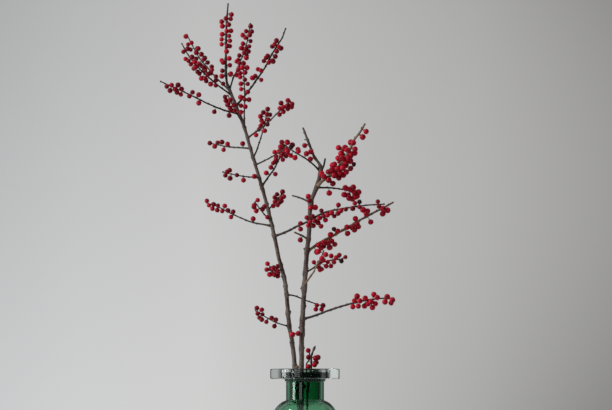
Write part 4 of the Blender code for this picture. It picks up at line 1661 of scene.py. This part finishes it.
@dataclass
class Studio:
    """A pale floor, soft light from the left and a camera in front, which looks up a little."""

    floor_radius: float = 1.8
    floor_sides: int = 128
    floor_colour: Colour = (0.55, 0.55, 0.54)
    fill: Colour = (0.30, 0.305, 0.32)
    fill_least: float = 0.42  # how much of the fill is left on the dark side
    room: Rows = (  # what glass and gloss show: degrees to the right of the backdrop, and light
        (-180, 0.03), (-104, 0.03), (-98, 0.47), (-36, 0.60), (-32, 0.05), (-13, 0.05), (-9, 0.45),
        (8, 0.45), (11.5, 0.045), (30, 0.045), (35, 0.20), (41, 0.42), (66, 0.40), (78, 0.10), (104, 0.03),
        (180, 0.03))
    above: Colour = (0.55, 0.555, 0.56)  # and far above and below
    backdrop_width: float = 3.92  # how fast its colours follow each other, to the sine of the angle
    backdrop_rise: float = 12.0  # how fast it changes upwards, to the sine of the angle
    backdrop_level: float = 0.96  # where its colours are those below, after that rise
    backdrop_reach: float = 1.2  # where it stops changing upwards and downwards
    backdrop: tuple[tuple[float, Colour], ...] = (  # its colours, from its left to its right
        (0.0, (0.512, 0.515, 0.520)), (0.13, (0.550, 0.552, 0.556)), (0.24, (0.565, 0.565, 0.566)),
        (0.33, (0.579, 0.578, 0.577)), (0.57, (0.504, 0.503, 0.501)), (0.69, (0.470, 0.468, 0.464)),
        (0.78, (0.442, 0.440, 0.435)), (0.88, (0.395, 0.392, 0.387)), (1.0, (0.335, 0.332, 0.328)))
    camera_place: tuple[float, float, float] = (0.0015, -3.578, 0.200)
    camera_lens: float = 141.06
    camera_pitch: float = 4.55  # how far the camera looks up, in degrees
    lamps: tuple[Lamp, ...] = (
        Lamp("window", (-2.47, -0.80, 1.42), (0.0, 0.0, 0.45), 0.75, 2.8, 58.0),
        Lamp("front_fill", (-1.22, -2.3, 0.92), (0.0, 0.0, 0.45), 0.9, 1.7, 6.5),
    )

    def build(self) -> None:
        """Makes the floor, the world, the lamps and the camera."""
        self._floor()
        self._world()
        for lamp in self.lamps:
            lamp.build()
        data = bpy.data.cameras.new("camera")
        data.sensor_width = 36.0
        data.lens = self.camera_lens
        data.clip_end = 50.0
        camera = add_object("camera", data)
        camera.location = self.camera_place
        camera.rotation_euler = (math.pi / 2 + math.radians(self.camera_pitch), 0.0, 0.0)
        bpy.context.scene.camera = camera
        bpy.context.scene.view_settings.view_transform = "Standard"

    def _floor(self) -> None:
        """Makes the round floor that the vase stands on."""
        solid = bmesh.new()
        bmesh.ops.create_circle(solid, cap_ends=True, segments=self.floor_sides, radius=self.floor_radius)
        material, sheet = new_sheet("floor")
        sheet.surface({"Base Color": self.floor_colour, "Roughness": 0.9, "Specular IOR Level": 0.2})
        add_mesh("floor", solid, [material])

    def _world(self) -> None:
        """Gives the world a plain soft light and a pale grey backdrop, which darkens to the right."""
        world = bpy.data.worlds.new("room")
        world.use_nodes = True
        bpy.context.scene.world = world
        sheet = Sheet(world.node_tree)
        way = sheet.node("ShaderNodeTexCoord", output="Generated")
        across, depth, height = (sheet.part(way, axis) for axis in "XYZ")
        share = (across * self.backdrop_width + 0.5).at_least(0.0).at_most(1.0)
        wall = sheet.node("ShaderNodeValToRGB", {"stops": self.backdrop}, {"Fac": share})
        up = height * self.backdrop_rise - self.backdrop_level
        up = up.at_least(-self.backdrop_reach).at_most(self.backdrop_reach)
        light = 1.0 + (share * 0.21 - 0.17) * up - (share ** 3.0 * 0.19 + 0.01) * up * up
        wall = sheet.brightened(wall, light)
        turn = sheet.node("ShaderNodeMath", {"operation": "ARCTAN2"}, {0: across, 1: depth})
        stops = [(angle / 360 + 0.5, (grey, grey, grey)) for angle, grey in self.room]
        mirrored = sheet.node("ShaderNodeValToRGB", {"stops": stops}, {"Fac": turn * (1 / math.tau) + 0.5})
        mirrored = sheet.blend((height * height).step(0.25, 0.5), mirrored, self.above)
        mirrored = sheet.blend(depth.step(0.982, 0.991), mirrored, wall)
        in_glass = sheet.node("ShaderNodeLightPath", output="Is Glossy Ray").at_least(
            sheet.node("ShaderNodeLightPath", output="Is Transmission Ray"))
        fill = (1.08 - across * 0.74 - depth * 0.2).at_least(self.fill_least)
        fill = sheet.brightened(self.fill, fill)
        seen = sheet.blend(in_glass, fill, mirrored)
        seen = sheet.blend(sheet.node("ShaderNodeLightPath", output="Is Camera Ray"), seen, wall)
        room = sheet.node("ShaderNodeBackground", sockets={"Color": seen})
        sheet.node("ShaderNodeOutputWorld", sockets={"Surface": room})


def main() -> None:
    """Builds the object and its studio, and reports each piece."""
    logging.basicConfig(level=logging.INFO, format="%(message)s")
    finishes = Finishes.make()
    _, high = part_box("vase")
    vase = BottleVase(finishes, height=high.z / MM, flange_radius=high.x / MM)
    pieces = [vase.build()] + Branches(WOOD, finishes).build()
    Studio().build()
    triangles = 0
    for piece in pieces:
        piece.data.calc_loop_triangles()
        triangles += len(piece.data.loop_triangles)
        log.info("%s: %d triangles", piece.name, len(piece.data.loop_triangles))
    log.info("%d pieces, %d triangles", len(pieces), triangles)


if __name__ == "__main__":
    main()
